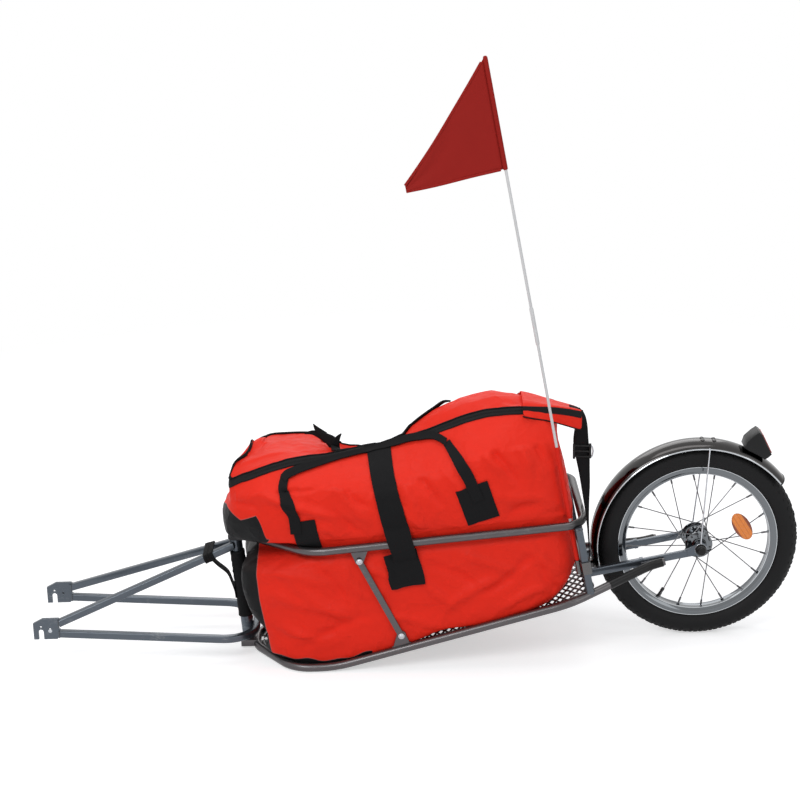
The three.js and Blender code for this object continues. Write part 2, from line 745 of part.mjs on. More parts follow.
// Amber reflector clipped on one spoke of the left side, its long side along the rim
function wheelReflector() {
  const shape = new THREE.Shape();
  shape.absellipse(0, 0, reflectorWidth / 2, reflectorLength / 2, 0, 2 * Math.PI);
  const bevel = reflectorThickness * 0.25;
  const options = { depth: reflectorThickness - bevel * 2, bevelThickness: bevel, bevelSize: bevel };
  const geometry = new THREE.ExtrudeGeometry(shape, {
    ...options, bevelOffset: -bevel, bevelSegments: 1, curveSegments: 12,
  });
  geometry.translate(0, 0, bevel);
  geometry.rotateX(Math.PI / 2);
  const { hole, end } = spokeList[reflectorSpoke];
  const outward = end.clone().sub(hole).normalize();
  const inward = vec(0, 1, 0).addScaledVector(outward, -outward.y).normalize();
  const along = outward.clone().cross(inward);
  geometry.applyMatrix4(new THREE.Matrix4().makeBasis(outward, inward, along));
  const place = hole.clone().addScaledVector(outward, reflectorDistance);
  place.addScaledVector(inward, -spokeRadius - seatGap).addScaledVector(along, reflectorShift);
  geometry.translate(place.x, place.y, place.z);
  return geometry;
}

add('wheel_reflector', wheelReflector(), amber, wheel);

// Fender: a rolled sheet on an arc over the wheel, with a tab at its front end and two wire stays
const arcPoint = (radius, degrees, y = 0) => vec(
  radius * Math.cos(radians(degrees)), y, axleHeight + radius * Math.sin(radians(degrees)),
);

function fender() {
  const crown = (inset) => Array.from({ length: 7 }, (_, i) => {
    const a = Math.PI * (i / 6 - 0.5);
    return [(fenderDrop - inset) * (Math.cos(a) - 1) - inset, (fenderHalfWidth - inset) * Math.sin(a)];
  });
  const section = outline([...crown(0), ...crown(fenderSheet).reverse()]);
  const frontDrop = axleHeight - crossTubeHeight + fenderFrontDrop;
  const frontAngle = 180 + THREE.MathUtils.radToDeg(Math.asin(frontDrop / fenderRadius));
  const arc = Array.from({ length: fenderSteps + 1 }, (_, i) => {
    const degrees = frontAngle + (fenderRearAngle - frontAngle) * i / fenderSteps;
    return arcPoint(fenderRadius, degrees);
  });
  const sheet = sweep(section, arc, vec(0, -1, 0));
  const tabEnd = crossTube + tubeRadius + seatGap;
  const low = crossTubeHeight - fenderTabHeight / 2;
  const tabDepth = -fenderRadius - tabEnd;
  const bridge = new THREE.BoxGeometry(tabDepth + fenderDrop * 2, fenderTabWidth, fenderTabHeight);
  bridge.translate(tabEnd + tabDepth / 2 + fenderDrop, 0, low + fenderTabHeight / 2);
  const inside = cylinderAlongY(fenderRadius - fenderSheet, -fenderHalfWidth, fenderHalfWidth, 96);
  inside.translate(0, 0, axleHeight);
  const wheelSide = solid(bridge).subtract(solid(inside));
  return shape3(solid(sheet).add(wheelSide));
}

add('fender', fender(), fenderChrome);

function fenderStay() {
  const lip = arcPoint(fenderRadius - fenderDrop, wireTopAngle, -fenderHalfWidth - wireRadius - seatGap);
  const eyeY = -dropoutOuter - seatGap - wireEyeThickness / 2;
  const outward = -dropoutOuter - wireRadius - seatGap;
  const eyeTop = vec(0, outward, axleHeight + capNutRadius + seatGap * 2);
  const ring = turned([
    [axleRadius + seatGap, -wireEyeThickness / 2], [wireEyeRadius, -wireEyeThickness / 2],
    [wireEyeRadius, wireEyeThickness / 2], [axleRadius + seatGap, wireEyeThickness / 2],
    [axleRadius + seatGap, -wireEyeThickness / 2],
  ], 16);
  ring.translate(0, eyeY, axleHeight);
  const bend = vec(0, outward, axleHeight + dropoutRadius * 1.4);
  const wire = sweep(roundOutline(wireRadius, 6), [eyeTop, bend, lip], vec(1, 0, 0));
  return join(ring, wire);
}

addPair('fender_stay', fenderStay(), steel);

// Tail lamp: a black wedge on the crown of the fender with a red reflector in its rear face
const lampTilt = radians(lampFootAngle);

function lampPoint(along, out) {
  const base = arcPoint(fenderRadius + seatGap, lampFootAngle);
  const outward = vec(Math.cos(lampTilt), 0, Math.sin(lampTilt));
  const forward = vec(-Math.sin(lampTilt), 0, Math.cos(lampTilt));
  return base.addScaledVector(outward, out).addScaledVector(forward, along);
}

function lampHousing() {
  const half = lampFootLength / 2;
  const profile = [[half, 0], [half * 0.85, lampHeight * 0.25], [-half * 0.1, lampHeight], [-half, 0]];
  const side = profile.map(([along, out]) => lampPoint(along, out));
  const block = plate(outline(side.map((p) => [p.x, p.z])), lampWidth, 0);
  const inside = cylinderAlongY(fenderRadius + seatGap, -lampWidth, lampWidth, 128);
  inside.translate(0, 0, axleHeight);
  return cut(block, inside);
}

add('tail_lamp_housing', lampHousing(), blackPlastic);

function lampLens() {
  const half = lampFootLength / 2;
  const low = lampPoint(-half, 0);
  const high = lampPoint(-half * 0.1, lampHeight);
  const face = high.clone().sub(low);
  const across = vec(-face.z, 0, face.x).normalize();
  const inset = face.clone().setLength(lampWall * 1.5);
  const [a, b] = [low.clone().add(inset), high.clone().sub(inset)];
  const out = (p, distance) => p.clone().addScaledVector(across, -distance);
  const ring = [out(a, seatGap), out(a, lensThickness), out(b, lensThickness), out(b, seatGap)];
  return plate(outline(ring.map((p) => [p.x, p.z])), lampWidth - lampWall * 2, 0);
}

add('tail_lamp_lens', lampLens(), redLens);

// Flag pole in two halves, in a socket clamped to the left rear post
const poleStart = vec(...poleBase);
const poleDirection = vec(-Math.sin(radians(poleLean)), 0, Math.cos(radians(poleLean)));
const poleAt = (distance) => poleStart.clone().addScaledVector(poleDirection, distance);

function alongPole(profile, distance, count) {
  const geometry = turned(profile, count);
  geometry.applyQuaternion(new THREE.Quaternion().setFromUnitVectors(vec(0, 1, 0), poleDirection));
  const place = poleAt(distance);
  geometry.translate(place.x, place.y, place.z);
  return geometry;
}

function poleSocket() {
  const bore = poleRadius + seatGap;
  const cup = alongPole([
    [0, -socketFloor], [socketRadius, -socketFloor], [socketRadius, socketDepth], [0, socketDepth],
  ], 0, 16);
  const open = socketDepth + cutOverrun;
  const hole = alongPole([[0, 0], [bore, 0], [bore, open], [0, open]], 0, 12);
  const middle = poleAt(socketDepth / 2).z;
  const [low, high] = [postAt(middle - socketDepth / 2), postAt(middle + socketDepth / 2)];
  const outer = postWidth + postClampThickness * 2;
  const clampOut = bar(boxOutline(outer, outer, postWidth * 0.2), low, high, vec(1, 0, 0));
  const tooLow = low.clone().add(low.clone().sub(high));
  const tooHigh = high.clone().add(high.clone().sub(low));
  const window = postWidth + seatGap * 2;
  const clampIn = bar(boxOutline(window, window, postWidth * 0.2), tooLow, tooHigh, vec(1, 0, 0));
  return cut(join(clampOut, cup), clampIn, hole);
}

const poleSeat = seatGap;

function lowerPole() {
  const top = poleHalfLength - seatGap;
  return alongPole([
    [0, 0], [poleRadius, 0], [poleRadius, top - ferruleLength / 2], [ferruleRadius, top - ferruleLength / 2],
    [ferruleRadius, top + ferruleLength / 2], [poleRadius + seatGap, top + ferruleLength / 2],
    [poleRadius + seatGap, top], [0, top],
  ], poleSeat, 10);
}

function upperPole() {
  return alongPole([
    [0, 0], [poleRadius, 0], [poleRadius, poleHalfLength], [0, poleHalfLength],
  ], poleSeat + poleHalfLength, 10);
}

add('flag_pole_socket', poleSocket(), blackPlastic);
add('flag_pole_lower', lowerPole(), white);
add('flag_pole_upper', upperPole(), white);

// Pennant with a closed sleeve over the pole's tip, rippled towards its fly end
function flag() {
  const tip = poleSeat + poleHalfLength * 2;
  const bore = poleRadius + seatGap;
  const sleeve = alongPole([
    [bore, -flagHoist], [flagSleeveRadius, -flagHoist], [flagSleeveRadius, 0],
    [poleRadius, flagSleeveRadius], [0, flagSleeveRadius], [0, seatGap], [bore, seatGap], [bore, -flagHoist],
  ], tip, 10);
  const [columns, rows] = [10, 4];
  const flyShares = { top: 0.93, low: 0.16 };
  const point = (i, j, face) => {
    const u = i / columns;
    const topEdge = -flagHoist * (flyShares.top * u + 0.12 * u * (1 - u));
    const lowEdge = -flagHoist * (1 + flyShares.low * u * (1 - u) * 0.3);
    const down = topEdge + (lowEdge - topEdge) * j / rows;
    const place = poleAt(tip + down);
    const out = vec(-poleDirection.z, 0, poleDirection.x);
    place.addScaledVector(out, (flagSleeveRadius * 0.9) + (flagFly - flagSleeveRadius) * u);
    place.y += flagRipple * u * Math.sin(2.2 * Math.PI * u + 0.5 * j / rows) + face * flagThickness / 2;
    return place;
  };
  return join(sleeve, thickSheet(columns, rows, point));
}

// A sheet between two faces, from a function of its grid place and face
function thickSheet(columns, rows, point) {
  const positions = [];
  const index = [];
  [-1, 1].forEach((face) => {
    for (let j = 0; j <= rows; j += 1) {
      for (let i = 0; i <= columns; i += 1) positions.push(...point(i, j, face).toArray());
    }
  });
  const stride = columns + 1;
  const back = stride * (rows + 1);
  const at = (i, j, face) => (face > 0 ? back : 0) + j * stride + i;
  const quad = (a, b, c, d) => index.push(a, b, c, a, c, d);
  for (let j = 0; j < rows; j += 1) {
    for (let i = 0; i < columns; i += 1) {
      quad(at(i, j, -1), at(i + 1, j, -1), at(i + 1, j + 1, -1), at(i, j + 1, -1));
      quad(at(i, j, 1), at(i, j + 1, 1), at(i + 1, j + 1, 1), at(i + 1, j, 1));
    }
    quad(at(0, j, -1), at(0, j + 1, -1), at(0, j + 1, 1), at(0, j, 1));
    quad(at(columns, j, -1), at(columns, j, 1), at(columns, j + 1, 1), at(columns, j + 1, -1));
  }
  for (let i = 0; i < columns; i += 1) {
    quad(at(i, 0, -1), at(i, 0, 1), at(i + 1, 0, 1), at(i + 1, 0, -1));
    quad(at(i, rows, -1), at(i + 1, rows, -1), at(i + 1, rows, 1), at(i, rows, 1));
  }
  const geometry = new THREE.BufferGeometry();
  geometry.setAttribute('position', new THREE.Float32BufferAttribute(positions, 3));
  geometry.setIndex(index);
  return geometry;
}

add('flag', flag(), flagCloth);

// Tow fork, about the foot of the pivot
const pivotIn = (z) => pivotAt(z).sub(vec(pivotFoot, 0, 0));

function hitchPlate() {
  const rear = hitchPlateRear;
  const front = rear - hitchPlateLength;
  const [low, high] = [hitchPlateBase, hitchPlateBase + hitchPlateHeight];
  const slot = front + hitchSlotPlace;
  const half = hitchSlotWidth / 2;
  const crown = low + hitchSlotDepth - half;
  const slotTop = Array.from({ length: 7 }, (_, i) => {
    const a = Math.PI - Math.PI * i / 6;
    return [slot + half * Math.cos(a), crown + half * Math.sin(a)];
  });
  const shape = outline([
    [front, low], [slot - half, low], ...slotTop, [slot + half, low], [rear - half, low], [rear, low + half],
    [rear, high], [front + hitchChamferLength, high], [front, high - hitchChamferDrop],
  ]);
  shape.holes.push(circleHole(slot, crown + hitchSlotWidth, hitchHoleRadius, 8));
  shape.holes.push(circleHole(slot + hitchSlotPlace * 1.2, crown + half, hitchHoleRadius, 8));
  return plate(shape, hitchPlateThickness, -forkHalfSpacing);
}

addPair('hitch_plate', hitchPlate(), forkPaint, fork);

const forkSection = () => boxOutline(forkTubeSize, forkTubeSize, forkTubeSize * 0.22);
const plateEnd = hitchPlateRear + seatGap;
const headCope = (z0, z1) => {
  const geometry = alongPivot(cylinderAlongY(headTubeRadius + seatGap, z0, z1, 24), 0);
  geometry.translate(-pivotFoot, 0, 0);
  return geometry;
};

// Both tubes are cut off square where they meet the hitch plate
function frontTrim() {
  const block = new THREE.BoxGeometry(hitchPlateLength, forkHalfSpacing * 4, lugHeight * 2);
  block.translate(plateEnd - hitchPlateLength / 2, 0, 0);
  return block;
}

function upperLeg() {
  const from = vec(plateEnd, -forkHalfSpacing, upperLegAtPlate);
  const to = vec(pivotIn(upperLegAtPivot).x, -upperLegTipHalfWidth, upperLegAtPivot);
  const reach = to.clone().sub(from).setLength(forkTubeSize);
  const leg = bar(forkSection(), from.clone().sub(reach), to, vec(0, 0, 1));
  const otherSide = new THREE.BoxGeometry(forkHalfSpacing * 2, forkHalfSpacing, lugHeight);
  otherSide.translate(-forkHalfSpacing, (forkHalfSpacing - seatGap) / 2, upperLegAtPivot);
  return cut(leg, headCope(0, lugHeight), otherSide, frontTrim());
}

addPair('fork_upper_tube', upperLeg(), forkPaint, fork);

// The lower tube is one U, its base welded behind the head tube
function lowerLegs() {
  const rise = (lowerLegAtPivot - lowerLegAtPlate) / -plateEnd;
  const base = pivotIn(lowerLegAtPivot).x + headTubeRadius + seatGap + forkTubeSize / 2;
  const at = (x, y) => vec(x, y, lowerLegAtPivot + rise * x);
  const corners = mirrorHalf([at(plateEnd - forkTubeSize, -forkHalfSpacing), at(base, -forkHalfSpacing)]);
  const path = bentPath(corners, [forkBend, forkBend]);
  return cut(sweep(forkSection(), path, vec(0, 0, 1)), headCope(0, lugHeight), frontTrim());
}

add('fork_lower_tube', lowerLegs(), forkPaint, fork);

const alongLean = (z, radius) => z / Math.cos(pivotLean) + radius * Math.tan(pivotLean);
const headBase = alongLean(footLugBase + footLugHeight + seatGap, headTubeRadius);
const headTop = alongLean(lugHeight - seatGap, -headTubeRadius);

function headTube() {
  const bore = pinRadius + seatGap;
  const geometry = alongPivot(turned([
    [bore, headBase], [headTubeRadius, headBase], [headTubeRadius, headTop], [bore, headTop], [bore, headBase],
  ], 20), 0);
  geometry.translate(-pivotFoot, 0, 0);
  return geometry;
}

// Strap: a loop round both upper tubes, a band down to the head tube and a wrap round it
function forkStrap() {
  const slope = (upperLegAtPivot - upperLegAtPlate) / (pivotIn(upperLegAtPivot).x - plateEnd);
  const spread = (forkHalfSpacing - upperLegTipHalfWidth) / -plateEnd;
  const middle = upperLegAtPivot + slope * (strapPlace - pivotIn(upperLegAtPivot).x);
  const halfY = upperLegTipHalfWidth - spread * (strapPlace - strapWidth) + forkTubeSize / 2 + seatGap * 2;
  const halfZ = forkTubeSize / 2 + seatGap * 2;
  const loopSection = (grow) => boxOutline((halfZ + grow) * 2, (halfY + grow) * 2, strapThickness);
  const run = vec(1, 0, slope).normalize();
  const centre = vec(strapPlace, 0, middle);
  const at = (d) => centre.clone().addScaledVector(run, d);
  const side = vec(0, 1, 0);
  const loopOut = bar(loopSection(strapThickness), at(-strapWidth / 2), at(strapWidth / 2), side);
  const loopIn = bar(loopSection(0), at(-strapWidth), at(strapWidth), side);
  const wrapRadius = headTubeRadius + seatGap;
  const wrapTop = wrapBase + wrapHeight;
  const wrap = alongPivot(turned([
    [wrapRadius, wrapBase], [wrapRadius + strapThickness, wrapBase], [wrapRadius + strapThickness, wrapTop],
    [wrapRadius, wrapTop], [wrapRadius, wrapBase],
  ], 20), 0);
  wrap.translate(-pivotFoot, 0, 0);
  const under = vec(run.z, 0, -run.x);
  const bandTop = at(0).addScaledVector(under, halfZ + strapThickness / 2);
  const bandFoot = pivotIn(wrapBase + strapWidth).add(vec(-wrapRadius - strapThickness / 2, 0, 0));
  const band = bar(boxOutline(strapThickness, strapWidth, strapThickness * 0.2), bandTop, bandFoot, side);
  return join(cut(loopOut, loopIn), wrap, band);
}

add('fork_head_tube', headTube(), forkPaint, fork);
add('fork_strap', forkStrap(), blackWeb, fork);

// Pivot pin with its knob, through both lugs and the head tube
const knobFoot = alongLean(lugHeight + lugThickness + seatGap, pinKnobRadius);
const knobTop = knobFoot + pinKnobHeight;

function pivotPin() {
  return alongPivot(turned([
    [0, footLugBase], [pinRadius, footLugBase], [pinRadius, knobFoot], [pinKnobRadius, knobFoot],
    [pinKnobRadius, knobFoot + pinKnobHeight * 0.8], [pinKnobRadius * 0.8, knobTop], [0, knobTop],
  ], 16), 0);
}

add('pivot_pin', pivotPin(), steel);

// Bag: sections along X from the front overhang to the rear wall. Places along are shares of the bag's
// length, heights are shares of its height, widths are shares of its half width.
const bagStationShares = [
  [0.000, 0.600, 0.740, 0.16, 0.16, 0.30, 0.10],
  [0.012, 0.560, 0.775, 0.38, 0.40, 0.58, 0.30],
  [0.040, 0.525, 0.800, 0.50, 0.55, 0.76, 0.52],
  [0.073, 0.512, 0.822, 0.40, 0.45, 0.84, 0.58],
  [0.074, 0.490, 0.824, 0.09, 0.09, 0.84, 0.58],
  [0.076, 0.160, 0.828, 0.16, 0.09, 0.85, 0.60],
  [0.112, 0.145, 0.846, 0.44, 0.24, 0.90, 0.62],
  [0.127, 0.140, 0.850, 0.50, 0.33, 0.92, 0.62],
  [0.130, 0.026, 0.850, 0.56, 0.34, 0.92, 0.62],
  [0.179, 0.026, 0.856, 0.80, 0.56, 0.96, 0.62],
  [0.224, 0.026, 0.860, 0.89, 0.75, 0.98, 0.60],
  [0.284, 0.026, 0.858, 0.90, 0.86, 1.00, 0.56],
  [0.343, 0.000, 0.840, 0.90, 0.90, 1.00, 0.50],
  [0.388, 0.000, 0.832, 0.90, 0.90, 1.00, 0.40],
  [0.440, 0.000, 0.834, 0.90, 0.90, 1.00, 0.36],
  [0.500, 0.000, 0.856, 0.90, 0.90, 1.00, 0.36],
  [0.570, 0.000, 0.905, 0.90, 0.90, 1.00, 0.38],
  [0.646, 0.000, 0.962, 0.90, 0.90, 1.00, 0.44],
  [0.731, 0.000, 0.995, 0.90, 0.90, 1.00, 0.47],
  [0.820, 0.000, 1.010, 0.89, 0.89, 0.98, 0.48],
  [0.895, 0.219, 1.000, 0.84, 0.86, 0.94, 0.47],
  [0.940, 0.246, 0.968, 0.78, 0.84, 0.88, 0.45],
  [0.966, 0.285, 0.865, 0.72, 0.79, 0.82, 0.38],
  [0.986, 0.330, 0.740, 0.66, 0.74, 0.76, 0.42],
  [1.000, 0.390, 0.640, 0.50, 0.60, 0.62, 0.45],
];

function bagSection([along, footShare, topShare, lowShare, waistShare, shoulderShare, ridgeShare], options) {
  const { grow, outsideRail } = options;
  const x = bagFront + along * bagLength;
  const overhang = x < railTip + tubeRadius + bagGap + lugThickness / 2;
  const floor = overhang ? knobTop + bagGap : lowerHeight(x) + floorThickness / 2 + bagGap;
  const foot = Math.max(footShare * bagHeight, floor) - grow;
  const top = topShare * bagHeight + grow;
  const waistHigh = Math.max(railHeight(x) + tubeRadius * 1.5, foot + bagFootRise * 0.6);
  const waistLow = Math.max(railHeight(x) - tubeRadius * 1.5, foot + bagFootRise * 0.4);
  const overRail = railHalfWidth + tubeRadius + bagGap;
  const [low, shoulder, ridge] = [lowShare, shoulderShare, ridgeShare].map((share) => share * bagHalfWidth + grow);
  const waist = outsideRail ? overRail + grow : waistShare * bagHalfWidth + grow;
  const ridgeHeight = top - (top - waistHigh) * 0.14;
  const lift = (share) => waistHigh + (ridgeHeight - waistHigh) * share;
  const half = [
    [low * 0.86, foot], [low, foot + Math.min(bagFootRise, (waistLow - foot) * 0.3)],
    [low + (waist > low ? (waist - low) * 0.2 : 0), foot + (waistLow - foot) * 0.62],
    [waist, waistLow], [waist, waistHigh], [Math.max(shoulder, outsideRail ? waist * 0.97 : 0), lift(0.26)],
    [shoulder + (ridge - shoulder) * 0.3, lift(0.6)], [ridge + (shoulder - ridge) * 0.12, lift(0.92)],
    [ridge * 0.8, ridgeHeight + (top - ridgeHeight) * 0.45],
  ];
  return { x, ring: [[0, foot], ...half, [0, top], ...half.map(([y, z]) => [-y, z]).reverse()] };
}

function bagForm(options) {
  const stations = bagStationShares.map((row) => bagSection(row, options));
  stations[0].x -= options.grow;
  stations[stations.length - 1].x += options.grow;
  const count = stations[0].ring.length;
  const positions = stations.flatMap(({ x, ring }) => ring.flatMap(([y, z]) => [x, y, z]));
  const index = [];
  for (let s = 0; s < stations.length - 1; s += 1) {
    for (let k = 0; k < count; k += 1) {
      const [a, b] = [s * count + k, s * count + (k + 1) % count];
      if (k < count / 2) index.push(a, b, a + count, b, b + count, a + count);
      else index.push(a, b, b + count, a, b + count, a + count);
    }
  }
  const last = (stations.length - 1) * count;
  for (let k = 1; k < count - 1; k += 1) index.push(0, k + 1, k, last, last + k, last + k + 1);
  const geometry = new THREE.BufferGeometry();
  geometry.setAttribute('position', new THREE.Float32BufferAttribute(positions, 3));
  geometry.setIndex(index);
  return geometry;
}

add('bag', bagForm({ grow: 0, outsideRail: false }), redCloth);

// Webbing sewn on each side: the lifting handle with its patches, and the wide strap over the rail.
// Its outlines are drawn in side view as shares of the bag's length and height.
const handleShares = [
  [0.225, 0.600], [0.205, 0.700], [0.228, 0.765], [0.300, 0.778], [0.390, 0.768], [0.450, 0.770],
  [0.500, 0.785], [0.560, 0.825], [0.600, 0.855], [0.636, 0.875], [0.662, 0.840], [0.705, 0.710],
];
const frontPatchShares = [[0.205, 0.530], [0.283, 0.530], [0.270, 0.640], [0.195, 0.640]];
const rearPatchShares = [[0.700, 0.610], [0.782, 0.645], [0.752, 0.772], [0.668, 0.735]];
const wideStrapShares = [
  [0.430, 0.770], [0.492, 0.780], [0.512, 0.640], [0.540, 0.470], [0.582, 0.365], [0.470, 0.352], [0.462, 0.470],
];

const bagPoint = ([along, high]) => [bagFront + along * bagLength, high * bagHeight];

function sideCutter(points) {
  return plate(outline(points), bagHalfWidth * 1.5, -bagHalfWidth * 0.76);
}

function ribbonOutline(points, width) {
  const side = (sign) => points.map(([x, z], i) => {
    const [ax, az] = points[Math.max(i - 1, 0)];
    const [bx, bz] = points[Math.min(i + 1, points.length - 1)];
    const along = new THREE.Vector2(bx - ax, bz - az).normalize();
    return [x - sign * along.y * width / 2, z + sign * along.x * width / 2];
  });
  return [...side(-1), ...side(1).reverse()];
}

function webbing(outlines, outsideRail) {
  const inner = solid(bagForm({ grow: seatGap, outsideRail }));
  const outer = solid(bagForm({ grow: seatGap + webbingThickness, outsideRail }));
  const cutter = outlines.map((points) => solid(sideCutter(points))).reduce((all, one) => all.add(one));
  return shape3(outer.subtract(inner).intersect(cutter));
}

function bagWebbing() {
  const handle = ribbonOutline(handleShares.map(bagPoint), handleWidth);
  const patches = [frontPatchShares, rearPatchShares].map((shares) => shares.map(bagPoint));
  return join(webbing([handle, ...patches], false), webbing([wideStrapShares.map(bagPoint)], true));
}

addPair('bag_webbing', bagWebbing(), blackWeb);

// Rear strap with its buckle, from the bag's top rear edge down behind the rail to the cross tube
function rearStrap() {
  const lie = strapThickness / 2;
  const behindRail = railRear + tubeRadius + lie + seatGap;
  const behindCross = crossTube + tubeRadius + lie + seatGap * 3;
  const at = (x, z) => vec(x, rearStrapPlace, z);
  const knee = at(behindRail, bagHeight * 0.94);
  const waist = at(behindRail + rearStrapWidth * 0.3, railHeight(railRear));
  const path = [
    at(bagFront + bagLength * 0.93, bagHeight * 0.975), knee.clone().add(vec(-tubeRadius, 0, lie)),
    knee.clone().add(vec(0, 0, -tubeRadius)), waist, at(behindCross, crossTubeHeight - tubeRadius),
  ];
  const band = sweep(boxOutline(strapThickness, rearStrapWidth, strapThickness * 0.2), path, vec(0, 1, 0));
  const middle = knee.clone().lerp(waist, 0.3);
  const buckle = new THREE.BoxGeometry(buckleWidth, buckleThickness, buckleHeight);
  buckle.translate(middle.x, middle.y, middle.z);
  return join(band, buckle);
}

add('bag_rear_strap', rearStrap(), blackWeb);

// The origin is under the middle of the whole trailer
trailer.updateMatrixWorld(true);
const bounds = new THREE.Box3().setFromObject(trailer);
const middle = bounds.getCenter(new THREE.Vector3());
trailer.position.set(-middle.x, -middle.y, -bounds.min.z);

const part = new THREE.Group();
part.add(trailer);

export default part;
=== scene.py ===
# Single wheel touring trailer: tow fork, tube frame with mesh floor, cargo bag, wheel, fender and flag.
# Lengths in the tables are in millimetres, counted along X from the wheel axle.
import json
import math
from functools import partial

import bmesh
import bpy
import numpy as np
from mathutils import Matrix, Vector, noise
from mathutils.bvhtree import BVHTree


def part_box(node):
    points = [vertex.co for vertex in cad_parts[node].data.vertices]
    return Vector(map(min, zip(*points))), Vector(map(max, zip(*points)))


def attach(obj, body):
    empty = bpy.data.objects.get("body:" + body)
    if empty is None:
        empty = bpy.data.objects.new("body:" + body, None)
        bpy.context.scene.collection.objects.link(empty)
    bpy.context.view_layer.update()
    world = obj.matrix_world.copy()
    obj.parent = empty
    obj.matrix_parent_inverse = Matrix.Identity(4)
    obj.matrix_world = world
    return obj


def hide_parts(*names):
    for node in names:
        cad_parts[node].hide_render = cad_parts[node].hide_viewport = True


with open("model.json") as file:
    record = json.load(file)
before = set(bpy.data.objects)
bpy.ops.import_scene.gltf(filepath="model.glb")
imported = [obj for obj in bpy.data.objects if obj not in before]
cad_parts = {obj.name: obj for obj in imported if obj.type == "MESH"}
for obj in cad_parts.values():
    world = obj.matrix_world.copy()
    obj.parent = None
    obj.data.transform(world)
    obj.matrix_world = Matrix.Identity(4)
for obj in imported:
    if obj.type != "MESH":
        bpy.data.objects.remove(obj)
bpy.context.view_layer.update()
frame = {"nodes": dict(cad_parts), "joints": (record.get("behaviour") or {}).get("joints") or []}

JOINTS = {joint["name"]: joint for joint in frame["joints"]}
AXLE_X = JOINTS["wheel_spin"]["pos_m"][0]
AXLE_Z = JOINTS["wheel_spin"]["pos_m"][2] * 1000
PIVOT_FOOT = (JOINTS["fork_swing"]["pos_m"][0] - AXLE_X) * 1000
PIVOT_AXIS = Vector(JOINTS["fork_swing"]["axis"])
POLE_AXIS = Vector(JOINTS["flag_pole_lift"]["axis"])

# Places and heights

SIDES = ((-1, "left"), (1, "right"))
RAIL_RADIUS = 8.0
RAIL_HALF = 136.0
LOWER_HALF = 137.0
STAY_HALF = 47.0
RAIL_SLOPE, RAIL_AT_AXLE = 0.083, 313.8
LOWER_SLOPE, LOWER_AT_AXLE = 0.264, 199.5
STAY_SLOPE, STAY_AT_AXLE = 0.186, 195.9


def place(x, y, z):
    """A point in metres, from millimetres counted from the axle."""
    return Vector((AXLE_X + x / 1000, y / 1000, z / 1000))


def rail_height(x):
    return RAIL_AT_AXLE + RAIL_SLOPE * x


def lower_height(x):
    return max(RAIL_RADIUS, LOWER_AT_AXLE + LOWER_SLOPE * x)


def stay_height(x):
    return STAY_AT_AXLE + STAY_SLOPE * x


def on_rail(x, y, lift=0):
    return (x, y, rail_height(x) + lift)


def on_lower(x, y, lift=0):
    return (x, y, lower_height(x) + lift)


def on_stay(x, y, lift=0):
    return (x, y, stay_height(x) + lift)


def pivot_at(z):
    return Vector((PIVOT_FOOT + PIVOT_AXIS.x / PIVOT_AXIS.z * z, 0, z))


def along_table(x, table):
    """The value at x in a table of (x, value)."""
    return np.interp(x, *zip(*table))


def ease(value, low, high):
    """Goes smoothly from 0 at low to 1 at high."""
    t = min(max((value - low) / (high - low), 0.0), 1.0)
    return t * t * (3 - 2 * t)


# Camera, light and ground

LOOK = ((0.9996, -0.0142, -0.0231), (-0.0264, -0.3191, -0.9474), (0.0061, 0.9476, -0.3193))
CAMERA_PLACE = (-607.7, -3587.5, 1718.3)
FOCAL_LENGTH = 87.75
# Name, place and aim in metres, size in metres, watts
LAMPS = (("key_light", (-1.6, -2.6, 3.0), (0, 0, 0.3), (2.0, 1.4), 60),
         ("fill_light", (2.4, -2.4, 1.5), (0, 0, 0.3), (1.8, 1.8), 14),
         ("top_light", (0.1, 0.3, 3.4), (0, 0, 0.2), (2.6, 1.4), 28),
         ("back_light", (0.4, 2.8, 1.8), (0, 0, 0.3), (2.4, 1.2), 16))
AMBIENT, AMBIENT_STRENGTH = (0.93, 0.95, 1.0, 1), 0.40
PAPER, PAPER_GLOW = (0.80, 0.80, 0.80, 1), 0.50
# The ground turns white between these distances from its middle, in metres
WHITE_FROM, WHITE_AT = 1.1, 2.4


def set_camera():
    lens = bpy.data.cameras.new("camera")
    lens.sensor_width = 36
    lens.lens = FOCAL_LENGTH
    lens.clip_end = 30
    camera = bpy.data.objects.new("camera", lens)
    bpy.context.scene.collection.objects.link(camera)
    right, down, forward = (Vector(row).normalized() for row in LOOK)
    turn = Matrix((right, -down, -forward)).transposed().to_4x4()
    camera.matrix_world = Matrix.Translation(place(*CAMERA_PLACE)) @ turn
    bpy.context.scene.camera = camera


def area_lamp(name, spot, aim, size, power):
    light = bpy.data.lights.new(name, "AREA")
    light.shape = "RECTANGLE"
    light.size, light.size_y = size
    light.energy = power
    lamp = bpy.data.objects.new(name, light)
    bpy.context.scene.collection.objects.link(lamp)
    lamp.location = spot
    lamp.rotation_euler = (Vector(aim) - Vector(spot)).to_track_quat("-Z", "Y").to_euler()


def seen_directly(tree):
    """1 for what the camera sees, also in a mirror or through glass."""
    path = add_node(tree, "LightPath", {})
    seen = math_node(tree, "MAXIMUM", path["Is Camera Ray"], path["Is Glossy Ray"])
    return math_node(tree, "MAXIMUM", seen, path["Is Transmission Ray"])


def set_world():
    world = bpy.data.worlds.new("studio")
    bpy.context.scene.world = world
    world.use_nodes = True
    tree = world.node_tree
    tree.nodes.clear()
    ambient = add_node(tree, "Background", {"Color": AMBIENT, "Strength": AMBIENT_STRENGTH})[0]
    backdrop = add_node(tree, "Background", {"Color": (1, 1, 1, 1), "Strength": 1.0})[0]
    choose = add_node(tree, "MixShader", {0: seen_directly(tree), 1: ambient, 2: backdrop})[0]
    add_node(tree, "OutputWorld", {"Surface": choose})


